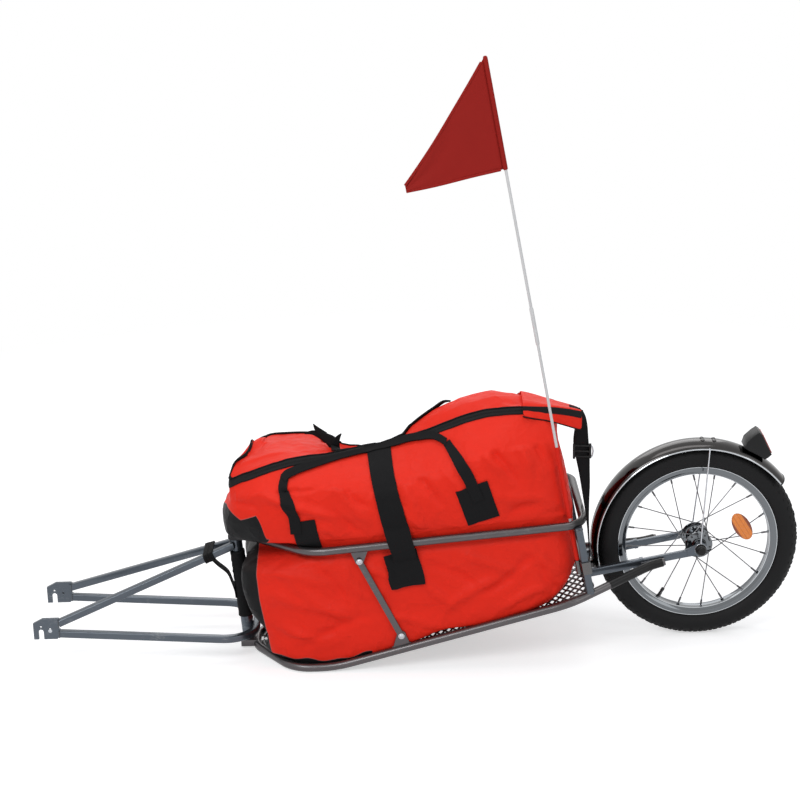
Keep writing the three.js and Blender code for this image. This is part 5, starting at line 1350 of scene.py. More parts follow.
def ground_under(x):
    """Height of the bag's underside: on the floor, but for a stretch that stands a little clear of it."""
    return lower_height(x) + GAP_HEIGHT * math.exp(-((x - GAP_X) / GAP_LENGTH) ** 2)


def bag_rows():
    """Rows of points from the middle of the floor over the near side to the middle of the lid."""
    count = BAG_COLUMNS
    zipper = smooth_line(ZIP_LINE, count)
    ground = np.vectorize(ground_under)
    rise_in_front = np.vectorize(ease)

    def row(points, height):
        line = smooth_line(points, count)
        return np.stack([line[:, 0], line[:, 1], height(line[:, 0])], 1)

    def up_to_rail(share):
        return lambda x: ground(x) + (rail_height(x) - ground(x)) * share

    def up_to_zip(share):
        return lambda x: hang[:, 2] + (zipper[:, 2] - hang[:, 2]) * share

    base = row(ROW_FLOOR, lambda x: ground(x) + 1.9 + 8 * rise_in_front(-x, 790, 830))
    low = row(ROW_LOW, lambda x: ground(x) + 22)
    step = row(ROW_STEP, lambda x: ground(x) + 52)
    wall = row(ROW_WALL, up_to_rail(0.46))
    upper = row(ROW_UPPER_WALL, up_to_rail(0.82))
    under = row(ROW_UNDER_RAIL, lambda x: rail_height(x) - 13)
    over = row(ROW_OVER_RAIL, lambda x: rail_height(x) + 13.5)
    hang = row(ROW_OVERHANG, lambda x: np.maximum(rail_height(x) + 24, 261))
    shoulder = row(ROW_SHOULDER, up_to_zip(0.33))
    high = row(ROW_HIGH, up_to_zip(0.70))
    slope = zipper - high
    slope[:, 2] += 4
    slope /= np.linalg.norm(slope, axis=1)[:, None]
    zip_low, zip_high = zipper - slope * ZIP_HALF, zipper + slope * ZIP_HALF * 0.9
    zip_high[:, 1] = np.minimum(zip_high[:, 1], zipper[:, 1])
    zip_low[[0, -1], 1] = 0
    zip_high[[0, -1], 1] = 0
    crown = along_table(zip_high[:, 0], CROWN)
    ends = (zip_high[:, 0] < -870) | (zip_high[:, 0] > -340)
    zip_high[ends, 2] = np.minimum(zip_high[ends, 2], crown[ends] + 1)
    bottom, half_bottom = base * (1, 0, 1), base * (1, 0.55, 1)
    lid = []
    for share in (0.82, 0.62, 0.42, 0.2, 0.0):
        line = zip_high * (1, share, 1)
        line[:, 2] = crown + (zip_high[:, 2] - crown) * share ** 2.1
        lid.append(line)
    return [bottom, half_bottom, base, low, step, wall, upper, under, over, hang, shoulder, high, zip_low,
            zipper, zip_high] + lid


BAG_ROWS = bag_rows()
ROW_ZIP_LOW, ROW_ZIP_HIGH = 12, 14
ROW_STEPS = (4, 6, 6, 7, 12, 14, 7, 7, 7, 12, 16, 14, 3, 3, 4, 5, 5, 6, 6)


def bag_surface():
    """A dense grid of points over the near half, eased between the rows above."""
    rows = np.array(BAG_ROWS)
    fine = [i + k / steps for i, steps in enumerate(ROW_STEPS) for k in range(steps)] + [len(rows) - 1]
    slopes = np.zeros_like(rows)
    for i in range(1, len(rows) - 1):
        slopes[i] = (rows[i + 1] - rows[i - 1]) / 2
        small = np.minimum(np.abs(rows[i + 1] - rows[i]), np.abs(rows[i] - rows[i - 1])) * 2.0
        slopes[i] = np.clip(slopes[i], -small, small)
    slopes[0], slopes[-1] = rows[1] - rows[0], rows[-1] - rows[-2]
    slopes[-1][:, 2] = 0
    out = np.zeros((len(fine), rows.shape[1], 3))
    for k, s in enumerate(fine):
        i = min(int(s), len(rows) - 2)
        t = s - i
        out[k] = between(t, rows[i], rows[i + 1], slopes[i], slopes[i + 1])
    return out


# Folds in side view: from (x, z) to (x, z), half width, depth; a positive depth is a ridge
FOLDS = [(-850, 355, -700, 330, 11, 3.2), (-842, 372, -735, 392, 9, -2.4), (-735, 392, -650, 320, 12, 3.0),
         (-725, 330, -655, 285, 10, -3.0), (-745, 300, -700, 275, 8, 2.4), (-700, 385, -660, 345, 9, -2.5),
         (-600, 405, -540, 300, 14, 3.0), (-560, 420, -500, 330, 11, -2.6), (-590, 330, -520, 285, 11, 2.4),
         (-500, 400, -440, 300, 10, 2.4), (-440, 470, -395, 400, 12, 3.2), (-415, 460, -370, 380, 10, -3.0),
         (-385, 480, -340, 400, 13, 3.0), (-350, 470, -300, 420, 10, -2.6), (-395, 360, -290, 330, 13, 2.8),
         (-380, 320, -300, 345, 10, -2.4), (-465, 340, -430, 300, 10, -2.2), (-500, 460, -455, 430, 8, 2.0),
         (-860, 200, -720, 190, 12, 2.4), (-840, 215, -735, 235, 9, -2.4), (-850, 150, -700, 130, 15, 2.6),
         (-800, 190, -690, 100, 13, 3.0), (-760, 220, -700, 150, 10, -2.6), (-830, 90, -720, 60, 13, 2.4),
         (-780, 60, -660, 110, 12, -2.2), (-700, 210, -655, 150, 9, 2.4), (-650, 220, -600, 175, 9, 2.6),
         (-560, 215, -500, 130, 13, 2.8), (-530, 225, -455, 170, 11, -2.6), (-500, 130, -400, 190, 14, 2.6),
         (-470, 230, -360, 205, 13, 2.6), (-430, 160, -330, 230, 13, -2.6), (-400, 130, -310, 160, 12, 2.4),
         (-350, 240, -280, 200, 12, 2.6), (-330, 200, -275, 150, 10, -2.4), (-620, 110, -520, 90, 11, 2.0),
         (-880, 375, -790, 345, 9, 2.6), (-905, 350, -860, 335, 8, -2.0)]


def fold_height(x, z, folds):
    """Height of all the folds at a point of the bag's side; each one bows a little and fades at its ends."""
    total = 0.0
    for ax, az, bx, bz, width, depth in folds:
        dx, dz = bx - ax, bz - az
        length = math.hypot(dx, dz)
        t = ((x - ax) * dx + (z - az) * dz) / length / length
        bow = 6.0 * math.sin(t * math.pi * 1.2 + ax * 0.05)
        off = ((x - ax) * dz - (z - az) * dx) / length + bow
        if -0.25 <= t <= 1.25 and abs(off) <= width * 2.6:
            along = ease(t, -0.25, 0.25) * (1 - ease(t, 0.7, 1.25))
            total += depth * along * math.exp(-(off / width) ** 2 * 1.6)
    return total


# The nose panel's rear edge as (z, x), and its top edge as (x, z)
NOSE_EDGE = [(0, -846), (26, -849), (65, -856), (142, -868), (196, -872), (250, -868), (276, -849),
             (311, -858), (327, -865)]
NOSE_TOP = [(-945, 336), (-936, 329), (-916, 323), (-897, 312), (-865, 327), (-858, 311), (-849, 276)]
TRIM_REAR, TRIM_TOP, NOSE_TOP_FROM = -650, 60, 262


def black_panel(x, y, z):
    """Millimetres inside the black nose panel or the trim along the floor; below 0 outside them."""
    nose = along_table(z, NOSE_EDGE) - x
    if z > NOSE_TOP_FROM:
        nose = min(nose + 8, along_table(x, NOSE_TOP) - 0.36 * min(max(y + 60, 0), 60) - z)
    if x > TRIM_REAR or z > TRIM_TOP:
        return max(nose, -10)
    return max(nose, 9 + 7 * ease(x, -690, -840) + 2.5 * math.sin(x / 9) - (z - lower_height(x) - 2))


def far_fold(ax, az, bx, bz, width, depth):
    """The far side has folds of its own, drawn from the near ones."""
    return (ax + 26, az - 9, bx + 14, bz + 11, width, depth * 0.9)


FAR_FOLDS = [far_fold(*fold) for fold in FOLDS]
# Waves in the cloth: how fine, and how high
CLOTH_WAVES = ((1.0, 3.0), (2.6, 1.6), (5.5, 0.8))
SIDE_FOLD_GAIN, LID_FOLD_HEIGHT, PUSH_NEAR_TUBES = 2.8, 3.0, 1.2


def bag_push(x, y, z, normal):
    """How far the cloth stands out: waves and folds, calm along the rail and the floor."""
    spot = Vector((x / 95, y / 60 + 3, z / 70))
    broad = sum(noise.noise(spot * fine) * height for fine, height in CLOTH_WAVES)
    folds = SIDE_FOLD_GAIN * fold_height(x, z, FOLDS if y < 0 else FAR_FOLDS) * ease(abs(normal.y), 0.2, 0.6)
    if normal.z > 0.5:
        over = Vector((x / 110, y / 50, 0.3))
        folds = LID_FOLD_HEIGHT * (noise.ridged_multi_fractal(over, 1.0, 2.0, 2, 0.9, 1.0) - 1)
    off_floor = ease(z - lower_height(x), 6, 34)
    rail = abs(z - rail_height(x))
    off_rail = 0.1 + 0.9 * ease(rail, 14, 44)
    push = (broad * 0.8 + folds) * off_floor * off_rail
    if rail < 28 or z < 70 or (x < -868 and z < 300):
        push = min(push, PUSH_NEAR_TUBES)
    return push


def make_bag_shell():
    near = bag_surface()
    rows, columns = near.shape[:2]
    bm = bmesh.new()
    bmesh.ops.create_grid(bm, x_segments=columns - 1, y_segments=rows - 1, size=0.5)
    for vert in bm.verts:
        i, j = grid_place(vert, columns - 1, rows - 1)
        x, y, z = near[j, i]
        vert.co = (x, -y, z)
    bmesh.ops.mirror(bm, geom=bm.verts[:] + bm.edges[:] + bm.faces[:], axis="Y", merge_dist=0.01)
    for vert in bm.verts:
        vert.co = place(*slump(*vert.co))
    bmesh.ops.remove_doubles(bm, verts=bm.verts, dist=2e-4)
    bmesh.ops.dissolve_degenerate(bm, dist=1e-5, edges=bm.edges)
    bmesh.ops.recalc_face_normals(bm, faces=bm.faces)
    bm.normal_update()
    pushes = [bag_push(*from_metres(vert.co), vert.normal) for vert in bm.verts]
    for vert, push in zip(bm.verts, pushes):
        vert.co += vert.normal * (push / 1000)
    bmesh.ops.smooth_vert(bm, verts=bm.verts, factor=0.25, use_axis_x=True, use_axis_y=True, use_axis_z=True)
    return bm


def bag_uv(mesh):
    """The cloth's UV map, in metres, taken from the side that each face looks to."""
    layer = mesh.uv_layers.new(name="cloth")
    for polygon in mesh.polygons:
        normal = polygon.normal
        for loop_index in polygon.loop_indices:
            co = mesh.vertices[mesh.loops[loop_index].vertex_index].co
            if abs(normal.y) > 0.55:
                spot = (co.x, co.z)
            elif abs(normal.z) > abs(normal.x):
                spot = (co.x, co.y)
            else:
                spot = (co.y, co.z)
            layer.data[loop_index].uv = spot


def make_bag():
    bm = make_bag_shell()
    tree = BVHTree.FromBMesh(bm)
    bag = finish_piece("bag_shell", bm, "frame", BAG_CLOTH, ("bag",), 80, recalculate=False)
    bag_uv(bag.data)
    attribute = bag.data.attributes.new("panel_edge", "FLOAT", "POINT")
    values = [1 + black_panel(*from_metres(v.co)) / 1000 for v in bag.data.vertices]
    attribute.data.foreach_set("value", values)
    return tree


def on_bag(tree, x, z, side, lift):
    """The bag's side at (x, z), lifted off it along its normal."""
    origin = place(x, side * 260, z)
    found, normal, _, _ = tree.ray_cast(origin, Vector((0, -side, 0)))
    if found is None:
        found, normal, _, _ = tree.find_nearest(place(x, side * 60, z))
    if normal.y * side < 0:
        normal = -normal
    return found + normal * (lift / 1000), normal


def lay_band(tree, name, path, width, side, lift=1.2, thickness=1.7, nodes=(), over_rail=False, taper=None):
    """A flat band sewn along a path of (x, z) on the bag's side."""
    across, step, rail_reach = 6, 3.0, 146.4
    line = smooth_line(path, max(6, int(sum(math.dist(a, b) for a, b in zip(path, path[1:])) / step)))
    count = len(line)
    bm = bmesh.new()
    bmesh.ops.create_grid(bm, x_segments=count - 1, y_segments=across, size=0.5, calc_uvs=True)
    length = path_lengths(line)
    layer = bm.loops.layers.uv.new("cloth")
    spots = {}
    for vert in bm.verts:
        i, j = grid_place(vert, count - 1, across)
        along = line[min(i + 1, count - 1)] - line[max(i - 1, 0)]
        along = along / np.linalg.norm(along)
        wide = width * (taper(i / (count - 1)) if taper else 1.0)
        share = j / across - 0.5
        x, z = line[i][0] - along[1] * share * wide, line[i][1] + along[0] * share * wide
        spots[vert] = (x, z, length[i] / 1000, share * wide / 1000)
    for vert, (x, z, _, _) in spots.items():
        point, _ = on_bag(tree, x, z, side, lift)
        if over_rail:
            hull = rail_reach - (max(abs(z - rail_height(x)) - 7, 0) / 30) ** 2 * 9
            point.y = side * max(side * point.y, hull / 1000)
        vert.co = point
    fill_uv(bm, layer, lambda vert: spots[vert][2:])
    for other in [each for each in bm.loops.layers.uv if each.name != "cloth"]:
        bm.loops.layers.uv.remove(other)
    if side > 0:
        bmesh.ops.reverse_faces(bm, faces=bm.faces)
    bmesh.ops.smooth_vert(bm, verts=[v for v in bm.verts if not v.is_boundary], factor=0.5, use_axis_x=True,
                          use_axis_y=True, use_axis_z=True)
    piece = finish_piece(name, bm, "frame", WEBBING, nodes, 60, recalculate=False)
    add_modifier(piece, "SOLIDIFY", thickness=thickness / 1000, offset=0)
    add_modifier(piece, "BEVEL", width=0.0005, segments=2, limit_method="ANGLE",
                 angle_limit=math.radians(50),
                 profile=0.5)


HANDLE_FRONT = [(-790, 292), (-792, 322), (-803, 352), (-812, 380), (-808, 398)]
HANDLE_TOP = [(-812, 392), (-806, 398), (-790, 404), (-755, 411), (-713, 417), (-674, 420), (-636, 424),
              (-590, 436), (-553, 447), (-520, 454), (-497, 448)]
HANDLE_REAR = [(-497, 448), (-480, 428), (-462, 400), (-450, 372), (-441, 350)]
WIDE_STRAP = [(-628, 424), (-622, 392), (-612, 352), (-602, 312), (-592, 272), (-584, 240), (-578, 196)]
FRONT_PATCH = [(-776, 318), (-771, 288), (-766, 262), (-761, 236)]
REAR_PATCH = [(-454, 380), (-442, 343), (-431, 308)]
LOW_PATCH = [(-593, 244), (-585, 211), (-578, 177)]
# Name, path, width, lift off the bag, thickness and taper
BANDS = (("low_patch_", LOW_PATCH, 66, 4.6, 1.6, lambda t: 1.0 if t > 0.3 else 0.98),
         ("front_patch_", FRONT_PATCH, 46, 2.0, 1.6, None), ("rear_patch_", REAR_PATCH, 63, 2.0, 1.6, None),
         ("handle_front_", HANDLE_FRONT, 19, 3.6, 1.8, lambda t: 1.1 - 0.35 * ease(t, 0.6, 1)),
         ("handle_top_", HANDLE_TOP, 12, 4.6, 2.4, lambda t: 0.8 + 0.2 * math.cos(t * 6.3)),
         ("handle_rear_", HANDLE_REAR, 21, 3.6, 1.8, lambda t: 0.75 + 0.35 * ease(t, 0, 0.4)))


def sew_webbing(tree):
    for side, word, node in ((-1, "near", "bag_webbing_left"), (1, "far", "bag_webbing_right")):
        lay_band(tree, "wide_strap_" + word, WIDE_STRAP, 47, side, 2.6, 1.8, (node,), over_rail=True,
                 taper=lambda t: 1.0 - 0.04 * math.sin(t * 9))
        for name, path, width, lift, thickness, taper in BANDS:
            lay_band(tree, name + word, path, width, side, lift, thickness, taper=taper)


def whole_row(line):
    """A row of the near side, and its far half with the bag's lean."""
    near = [tuple(slump(x, -y, z)) for x, y, z in line]
    far = [tuple(slump(x, y, z)) for x, y, z in line[::-1]]
    return np.array(near + far[1:-1])


def band_from_rows(tree, name, low, high, lift, material, thickness=1.4, across=4):
    """A band between two rows of points, on both sides and round both ends."""
    low, high = whole_row(low), whole_row(high)
    count = len(low)
    bm = bmesh.new()
    bmesh.ops.create_grid(bm, x_segments=count, y_segments=across, size=0.5)
    layer = bm.loops.layers.uv.new("cloth")
    length = path_lengths(np.vstack([low, low[:1]]))
    width = float(np.linalg.norm(high - low, axis=1).mean())
    spots = {}
    for vert in bm.verts:
        i, j = grid_place(vert, count, across)
        share = j / across
        spots[vert] = (length[i] / 1000, (share - 0.5) * width / 1000)
        spot = low[i % count] * (1 - share) + high[i % count] * share
        found, normal, _, _ = tree.find_nearest(place(*spot))
        vert.co = found + normal * (lift * (1 - (2 * share - 1) ** 2 * 0.25) / 1000)
    fill_uv(bm, layer, spots.get)
    bmesh.ops.remove_doubles(bm, verts=bm.verts, dist=1e-5)
    piece = finish_piece(name, bm, "frame", material, (), 60, recalculate=False)
    add_modifier(piece, "SOLIDIFY", thickness=thickness / 1000, offset=-1)


def piping(name, line, radius, lift, tree):
    """A round sewn edge that follows a row of the bag on both sides."""
    path = []
    for p in whole_row(line)[::2]:
        found, normal, _, _ = tree.find_nearest(place(*p))
        path.append(from_metres(found + normal * (lift / 1000)))
    path.append(path[0])
    bm = bmesh.new()
    sweep(bm, round_ring(radius, 6), path, Vector((0.05, 0.02, 1)), closed_ends=False)
    finish_piece(name, bm, "frame", WEBBING, (), 60, uv=side_uv)


def make_far_edge(tree):
    """The lid's sewn edge, a dark line from the nose's near corner over the front to the far side."""
    row = BAG_ROWS[ROW_ZIP_HIGH]
    front = [p for p in row if p[0] < -884 and p[1] < 70]
    path = [slump(p[0], -p[1], p[2]) for p in front[::-1]]
    path += [slump(*p) for p in row[1:] if p[0] < -700]
    bm = bmesh.new()
    line = []
    for p in path[::2]:
        found, normal, _, _ = tree.find_nearest(place(*p))
        line.append(from_metres(found + (normal + Vector((0, 0, 0.8))).normalized() * 0.0022))
    for _ in range(2):
        line[1:-1] = [(a + b * 2 + c) / 4 for a, b, c in zip(line, line[1:], line[2:])]
    sweep(bm, round_ring(2.2, 8), line, Vector((0.05, 0.02, 1)))
    finish_piece("lid_edge_cord", bm, "frame", WEBBING, (), 60, uv=side_uv)


# Across the lid's hood: x, half width, height at the zip, at the middle and at the skirt's edge
HOOD = [(-352, 68.5, 513.5, 518, 497), (-330, 69.5, 512.5, 513, 492), (-308, 69.5, 511, 505, 487),
        (-286, 68, 508, 498, 479), (-264, 64, 503, 491, 470), (-248, 60, 498, 486, 463),
        (-237, 56, 494, 481, 458)]
HOOD_ARCH = 2.4


def hood_flare(x):
    return ease(-x, 268, 345)


def make_lid_flap():
    """The lid's rear end stands out past the bag's rear wall like a hood, with a short skirt."""
    columns, rows, top_columns = 16, len(HOOD) - 1, 6
    bm = bmesh.new()
    bmesh.ops.create_grid(bm, x_segments=columns, y_segments=rows, size=0.5)
    layer = bm.loops.layers.uv.new("cloth")
    for vert in bm.verts:
        i, j = grid_place(vert, columns, rows)
        i -= columns // 2
        x, half, edge, crown, hem = HOOD[j]
        side = -1 if i < 0 else 1
        if abs(i) > top_columns:
            down = abs(i) - top_columns
            y = side * (half + (2.5 + 10 * hood_flare(x) * down / 2))
            z = edge - 3 + (hem - edge + 3) * down / 2
        else:
            t = abs(i) / top_columns
            y, z = side * half * t, crown + (edge - crown) * t ** HOOD_ARCH + 3.6
        vert.co = place(*slump(x, y, z))
    fill_uv(bm, layer, lambda vert: (vert.co.x, vert.co.y))
    bmesh.ops.recalc_face_normals(bm, faces=bm.faces)
    flap = finish_piece("lid_flap", bm, "frame", BAG_CLOTH, (), 60, recalculate=False)
    add_modifier(flap, "SOLIDIFY", thickness=0.0018, offset=-1)
    add_modifier(flap, "SUBSURF", levels=2, render_levels=2)
    hems, tapes = bmesh.new(), bmesh.new()
    for side in (-1, 1):
        line = [slump(x, side * (half + 3.2 + 10 * hood_flare(x)), hem) for x, half, _, _, hem in HOOD]
        sweep(hems, round_ring(1.3, 8), line, Vector((0, 1, 0)))
        line = [slump(x, side * (half + 3.4 + 3 * hood_flare(x)), edge - 4.5) for x, half, edge, _,
                _ in HOOD]
        sweep(tapes, box_ring(1.6, 13.5, 0.7, 2), line)
    x, half, edge, crown, _ = HOOD[-1]
    lip = [slump(x + 1, half * t / 6, crown + (edge - crown) * abs(t / 6) ** HOOD_ARCH + 3)
           for t in range(-6, 7)]
    sweep(hems, round_ring(1.8, 8), lip, Vector((1, 0, 0)))
    finish_piece("lid_flap_hem", hems, "frame", WEBBING, (), 50, uv=side_uv)
    finish_piece("lid_flap_tape", tapes, "frame", ZIP_TAPE, (), 50, uv=side_uv)


def ribbon(bm, points, widths, sides):
    """A strap through points in millimetres; sides gives the way its width points at each."""
    across = 4
    line = [place(*p) for p in points]
    last = len(line) - 1
    layer = bm.loops.layers.uv.new("cloth")
    lengths = [0.0]
    for a, b in zip(line, line[1:]):
        lengths.append(lengths[-1] + (b - a).length)
    bmesh.ops.create_grid(bm, x_segments=last, y_segments=across, size=0.5)
    spots = {}
    for vert in bm.verts:
        i, j = grid_place(vert, last, across)
        along = (line[min(i + 1, last)] - line[max(i - 1, 0)]).normalized()
        side = Vector(sides[i]).normalized()
        side = (side - along * side.dot(along)).normalized()
        off = (j / across - 0.5) * widths[i] / 1000
        spots[vert] = (lengths[i], off)
        vert.co = line[i] + side * off
    fill_uv(bm, layer, spots.get)


def strap_piece(name, points, widths, sides, thickness, nodes=(), body="frame", count=30):
    knots = np.array([list(p) + [w] + list(s) for p, w, s in zip(points, widths, sides)], float)
    chord = path_lengths(knots[:, :3])
    fine = np.linspace(0, chord[-1], count)
    dense = []
    for axis in range(knots.shape[1]):
        values = np.interp(fine, chord, knots[:, axis])
        for _ in range(3):
            values[1:-1] = values[1:-1] * 0.5 + (values[:-2] + values[2:]) * 0.25
        dense.append(values)
    dense = np.stack(dense, 1)
    bm = bmesh.new()
    ribbon(bm, dense[:, :3], dense[:, 3], dense[:, 4:7])
    piece = finish_piece(name, bm, body, WEBBING, nodes, 60, recalculate=False)
    add_modifier(piece, "SOLIDIFY", thickness=thickness / 1000, offset=0)


def make_rear_strap():
    """From the lid's rear edge, twisted through a buckle, down behind the rail to the cross tube."""
    strap_y, buckle_y, buckle_front, buckle_rear = -28, -30, -249, -217.5
    line = [(-258, 497), (-240, 491), (-234, 480), (-235, 455), (-236, 424), (-232, 397), (-228.5, 365),
            (-225.5, 333), (-223, 294), (-220.4, 252), (-217.4, 200), (-216.2, 150)]
    widths = [16, 17, 21, 27, 31, 29, 25, 24, 22, 21, 19, 18]
    turns = [(0.1, 1, 0), (0.2, 1, 0), (0.6, 0.8, 0), (1, 0.35, 0), (1, 0.1, 0), (1, 0.2, 0), (0.9, 0.5, 0),
             (0.75, 0.7, 0), (0.45, 0.9, 0), (0.2, 1, 0), (0.1, 1, 0), (0, 1, 0)]
    strap_piece("rear_strap", [(x, strap_y, z) for x, z in line], widths, turns, 2.0, ("bag_rear_strap",),
                count=60)
    bm = bmesh.new()
    for middle in (416, 405, 394):
        bar = [(buckle_front, buckle_y, middle + 1), (buckle_rear, buckle_y, middle - 1)]
        sweep(bm, box_ring(4.5, 3.4, 1.2), bar)
    for x in (buckle_front, buckle_rear):
        sweep(bm, box_ring(4.6, 4.6, 1.3), [(x, buckle_y, 390), (x, buckle_y, 420)], Vector((1, 0, 0)))
    finish_piece("strap_buckle", bm, "frame", BLACK_PLASTIC, (), 40)
    bm = bmesh.new()
    hoop = [(x, buckle_y, z) for x,
            z in ((-218, 416), (-213.5, 415), (-211.5, 404), (-213.5, 393), (-218, 392))]
    sweep(bm, round_ring(1.6, 10), bent(hoop, [4, 4, 4], 15), Vector((0, 1, 0)))
    finish_piece("strap_ring", bm, "frame", ZINC, (), 40)
    bm = bmesh.new()
    turn_about(bm, [(8.3, -10), (9.9, -10), (9.9, 10), (8.3, 10), (8.3, -10)],
               (CROSS_X, strap_y, CROSS_HEIGHT),
               (0, 1, 0), 32)
    finish_piece("strap_loop", bm, "frame", WEBBING, (), 50,
                 uv=lambda co: (co.x + co.z, co.y))


# Strap ends on the lid: name, points, widths, the way the width points, and how many steps
LID_TAILS = (
    ("lid_tail_long",
     [(-772, -3, 447), (-756, -5, 450), (-740, -8, 444), (-728, -10, 438), (-716, -12, 430),
      (-713, -12, 414), (-713, -11, 405)],
     [3, 9, 15, 19, 24, 18, 4],
     [(0.2, 0.1, 1), (0.1, 0.1, 1), (0.3, 0.1, 1), (0.5, 0.1, 1), (0.9, 0.1, 0.6), (1, 0.1, 0.1),
      (1, 0.1, 0)], 24),
    ("lid_tail_spike", [(-754.5, -6, 467), (-750, -6, 459), (-743, -7, 451), (-733, -8, 443)],
     [1.5, 8, 13, 15],
     [(1, 0.1, 0.5), (1, 0.1, 0.5), (1, 0.1, 0.7), (1, 0.1, 0.8)], 14),
    ("lid_tail_tip", [(-700.5, -10, 447), (-706, -11, 441), (-711, -12, 433), (-714, -12, 424)],
     [1.5, 8, 13, 14],
     [(1, 0.1, -0.6), (1, 0.1, -0.6), (1, 0.1, -0.3), (1, 0.1, 0)], 14),
)
# The far handle where it lies on the lid: x, y, z, lift and width
FAR_HANDLE = ((-600, -6, 420, 1, 13), (-580, -4, 440, 1, 15), (-562, -2, 456, 1.4, 16),
              (-545, 2, 468, 1.6, 16), (-528, 6, 478, 1.8, 16), (-517, 9, 486, 2.2, 15),
              (-509, 12, 492, 4, 14), (-502, 14, 498, 7, 14), (-494, 16, 502, 6, 13), (-488, 18, 504, 2, 9))


def make_lid_straps(tree):
    """The far handle lies over the rear of the lid; a crumpled strap end stands up behind the nose."""
    path = []
    for x, y, z, lift, _ in FAR_HANDLE:
        found, normal, _, _ = tree.find_nearest(place(x, y, z))
        path.append(from_metres(found + normal * (lift / 1000)))
    widths = [width for *_, width in FAR_HANDLE]
    strap_piece("far_handle_over_lid", path, widths, [(0.4, 0.8, -0.4)] * len(path), 2.8)
    for name, points, widths, turns, count in LID_TAILS:
        strap_piece(name, points, widths, turns, 2.2, count=count)


# Fork strap


def make_fork_strap():
    """A webbing loop round both upper legs, a band down to the head tube and a wrap round it."""
    loop_x, half_z, corner = -70, 8.4, 3
    leg_end = pivot_at(LEG_TOP).x - PIVOT_FOOT
    slope = (LEG_TOP - LEG_FRONT_HEIGHT) / (leg_end + 366)
    spread = (LEG_HALF - 9) / 366
    run = Vector((1, 0, slope)).normalized()
    up = Vector((-run.z, 0, run.x))
    middle = LEG_TOP + slope * (loop_x - leg_end)
    bm = bmesh.new()
    for k, distance in enumerate((-7.5, -2.5, 2.5, 7.5)):
        centre = Vector(fork_point(loop_x + run.x * distance, 0, middle + run.z * distance))
        half_y = 9 + spread * (-loop_x - run.x * distance) + half_z
        outline = box_ring(2 * half_y, 2 * half_z, corner)
        ring = [centre + Vector((0, y, 0)) + up * (z + 0.25 * math.sin(k * 2.1)) for y, z in outline]
        sweep(bm, box_ring(2.0, 5.4, 0.9, 2), ring + ring[:2], run)
    finish_piece("fork_strap_loop", bm, "tow_fork", WEBBING, ("fork_strap",), 50,
                 uv=lambda co: (co.x + co.y, co.z))
    line = [fork_point(loop_x, 0, middle - 9.4), fork_point(-58, 0, middle - 24), fork_point(-36, 0, 158),
            (pivot_at(120).x - 14.6, 0, 120), (pivot_at(106).x - 14.4, 0, 104)]
    strap_piece("fork_strap_band", line, [20] * len(line), [(0, 1, 0)] * len(line), 1.9, body="tow_fork",
                count=24)
    bm = bmesh.new()
    folds = [(14.6 + 0.35 * math.sin(k * 1.9) + (0.5 if k % 6 == 0 else 0),
              0.4 + k * 4.0) for k in range(36)]
    profile = [(12.7, 0)] + folds + [(14.2, 140.6), (12.7, 141), (12.7, 0)]
    turn_about(bm, profile, pivot_at(64), PIVOT_AXIS, 40)
    finish_piece("head_tube_wrap", bm, "tow_fork", WEBBING, (), 50,
                 uv=lambda co: (co.z, co.y * 1.4))


# Flag and pole

POLE_FOOT = Vector((-246, -122, 190))
POLE_RADIUS, FLAG_TOP = 2.75, 1010.3


def pole_at(distance):
    return POLE_FOOT + POLE_AXIS * distance


def make_pole():
    bm = bmesh.new()
    turn_about(bm, [(0, 0.3), (POLE_RADIUS, 0.3), (POLE_RADIUS, 470), (0, 470)], pole_at(0), POLE_AXIS, 20)
    ferrule = [(2.8, 468.6), (3.5, 469), (3.8, 470), (3.8, 498), (3.55, 499), (3.55, 502), (3.8, 503),
               (3.8, 540), (3.5, 541), (2.8, 541.2), (2.8, 468.6)]
    turn_about(bm, ferrule, pole_at(0), POLE_AXIS, 24)
    finish_piece("pole_lower", bm, "flag_pole", WHITE_FIBRE, ("flag_pole_lower",), 35)
    bm = bmesh.new()
    upper = [(0, 505.2), (2.6, 505.2), (POLE_RADIUS, 506), (POLE_RADIUS, 1009.6), (2.4, 1010.2),
             (0, 1010.4)]
    turn_about(bm, upper, pole_at(0), POLE_AXIS, 20)
    finish_piece("pole_upper", bm, "flag_pole", WHITE_FIBRE, ("flag_pole_upper",), 35)
    refined("flag_pole_socket", "pole_socket", STEEL, "frame")


def make_pole_pocket():
    """A red cloth pocket on the bag's rear corner, above and below the rail, hides the pole's lower half."""
    bm = bmesh.new()
    for low, high in ((24, 96), (115, 262)):
        profile = [(3.5, low), (4.2, low), (4.4, low + 3), (4.3, (low + high) / 2), (4.4, high - 3),
                   (4.2, high), (3.5, high), (3.5, low)]
        turn_about(bm, profile, pole_at(0), POLE_AXIS, 24)
    finish_piece("pole_pocket", bm, "frame", POCKET_CLOTH, (), 50, uv=side_uv)


def flag_point(u, v):
    """u from the hoist to the fly, v from the top edge to the bottom edge."""
    hoist, fly, off_pole = 203.0, 184.0, 4.0
    top = -hoist * (0.975 * u + 0.10 * u * (1 - u))
    low = -hoist * (1 + 0.035 * u)
    down = top + (low - top) * v
    tip = pole_at(FLAG_TOP + down)
    out = Vector((-POLE_AXIS.z, 0, POLE_AXIS.x))
    spot = tip + out * (off_pole + (fly - off_pole) * u)
    swell = 5.0 * u * math.sin(2.2 * math.pi * u + 0.5 * v)
    ripple = 1.6 * math.sin(7 * u + 5 * v) * u * (1 - 0.4 * v) + 0.8 * math.sin(15 * u * (1 - v) + 2)
    spot.y += swell + ripple * min(1, u * 4)
    return spot


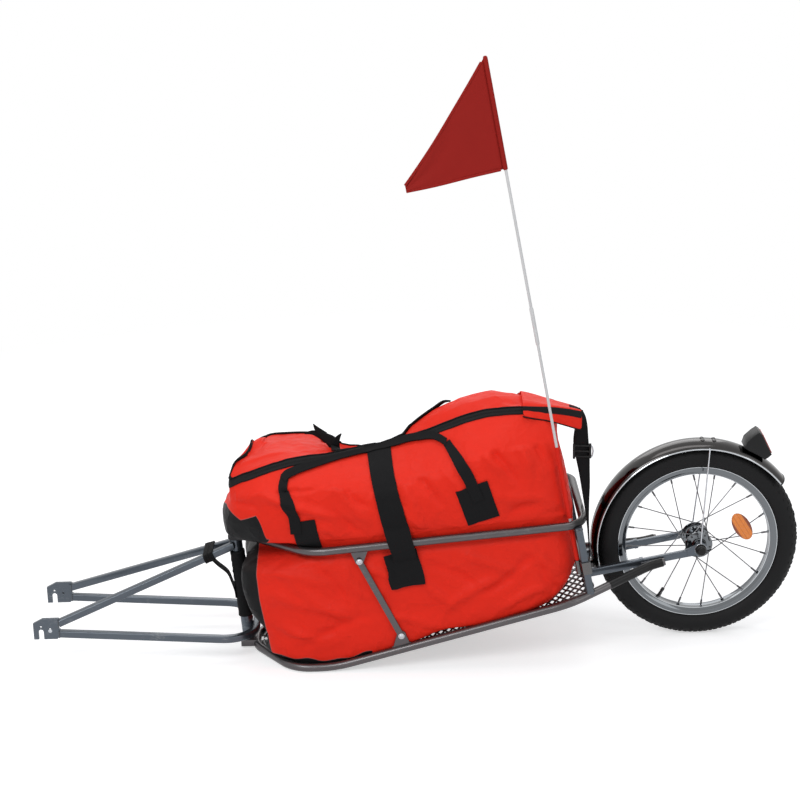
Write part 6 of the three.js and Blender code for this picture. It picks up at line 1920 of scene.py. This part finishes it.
def make_flag():
    columns, rows = 40, 26
    bm = bmesh.new()
    bmesh.ops.create_grid(bm, x_segments=columns, y_segments=rows, size=0.5)
    layer = bm.loops.layers.uv.new("cloth")
    for vert in bm.verts:
        vert.co = place(*flag_point(vert.co.x + 0.5, vert.co.y + 0.5))
    fill_uv(bm, layer, lambda vert: side_uv(vert.co))
    cloth = finish_piece("pennant", bm, "flag", FLAG_CLOTH, ("flag",), 80, recalculate=False)
    add_modifier(cloth, "SOLIDIFY", thickness=0.0006, offset=0)
    bm = bmesh.new()
    bore = 3.0
    tube = [(bore, -204), (3.9, -204.2), (4.3, -203), (4.3, -2), (4.1, 1.5), (2.8, 4), (0, 4.4), (0, 3.6),
            (bore, 0.4), (bore, -204)]
    turn_about(bm, tube, pole_at(FLAG_TOP), POLE_AXIS, 24)
    sleeve = finish_piece("pennant_sleeve", bm, "flag", FLAG_CLOTH, (), 50, uv=side_uv)
    bm = bmesh.new()
    for v, up in ((0.0, Vector((-0.4, 0, 1))), (1.0, Vector((0, 0, 1)))):
        sweep(bm, box_ring(2.2, 5.0, 0.9, 2), [flag_point(k / columns, v) for k in range(1, columns + 1)],
              up)
    hem = finish_piece("pennant_hem", bm, "flag", FLAG_CLOTH, (), 60, uv=side_uv)


# Build

for build in (set_scene, make_upper_rail, make_lower_frame, make_tube_ends, make_floor_strands,
              make_floor_border, make_posts_and_cross, make_struts, make_stays, make_axle, make_hub,
              make_spokes, make_rim, make_tyre, make_reflector, make_valve, make_fender, make_fender_stays,
              make_lamp, make_hitch_plates, make_fork_tubes, make_pivot_pin):
    build()
BAG_TREE = make_bag()
sew_webbing(BAG_TREE)
band_from_rows(BAG_TREE, "lid_zip", BAG_ROWS[ROW_ZIP_LOW], BAG_ROWS[ROW_ZIP_HIGH], 1.8, ZIP_TAPE)
piping("lid_piping", BAG_ROWS[ROW_ZIP_HIGH], 1.6, 1.4, BAG_TREE)
make_far_edge(BAG_TREE)
make_lid_flap()
make_rear_strap()
make_lid_straps(BAG_TREE)
make_fork_strap()
make_pole()
make_pole_pocket()
make_flag()
frame["nodes"]["inner_tube"].data.materials.clear()
frame["nodes"]["inner_tube"].data.materials.append(RUBBER)
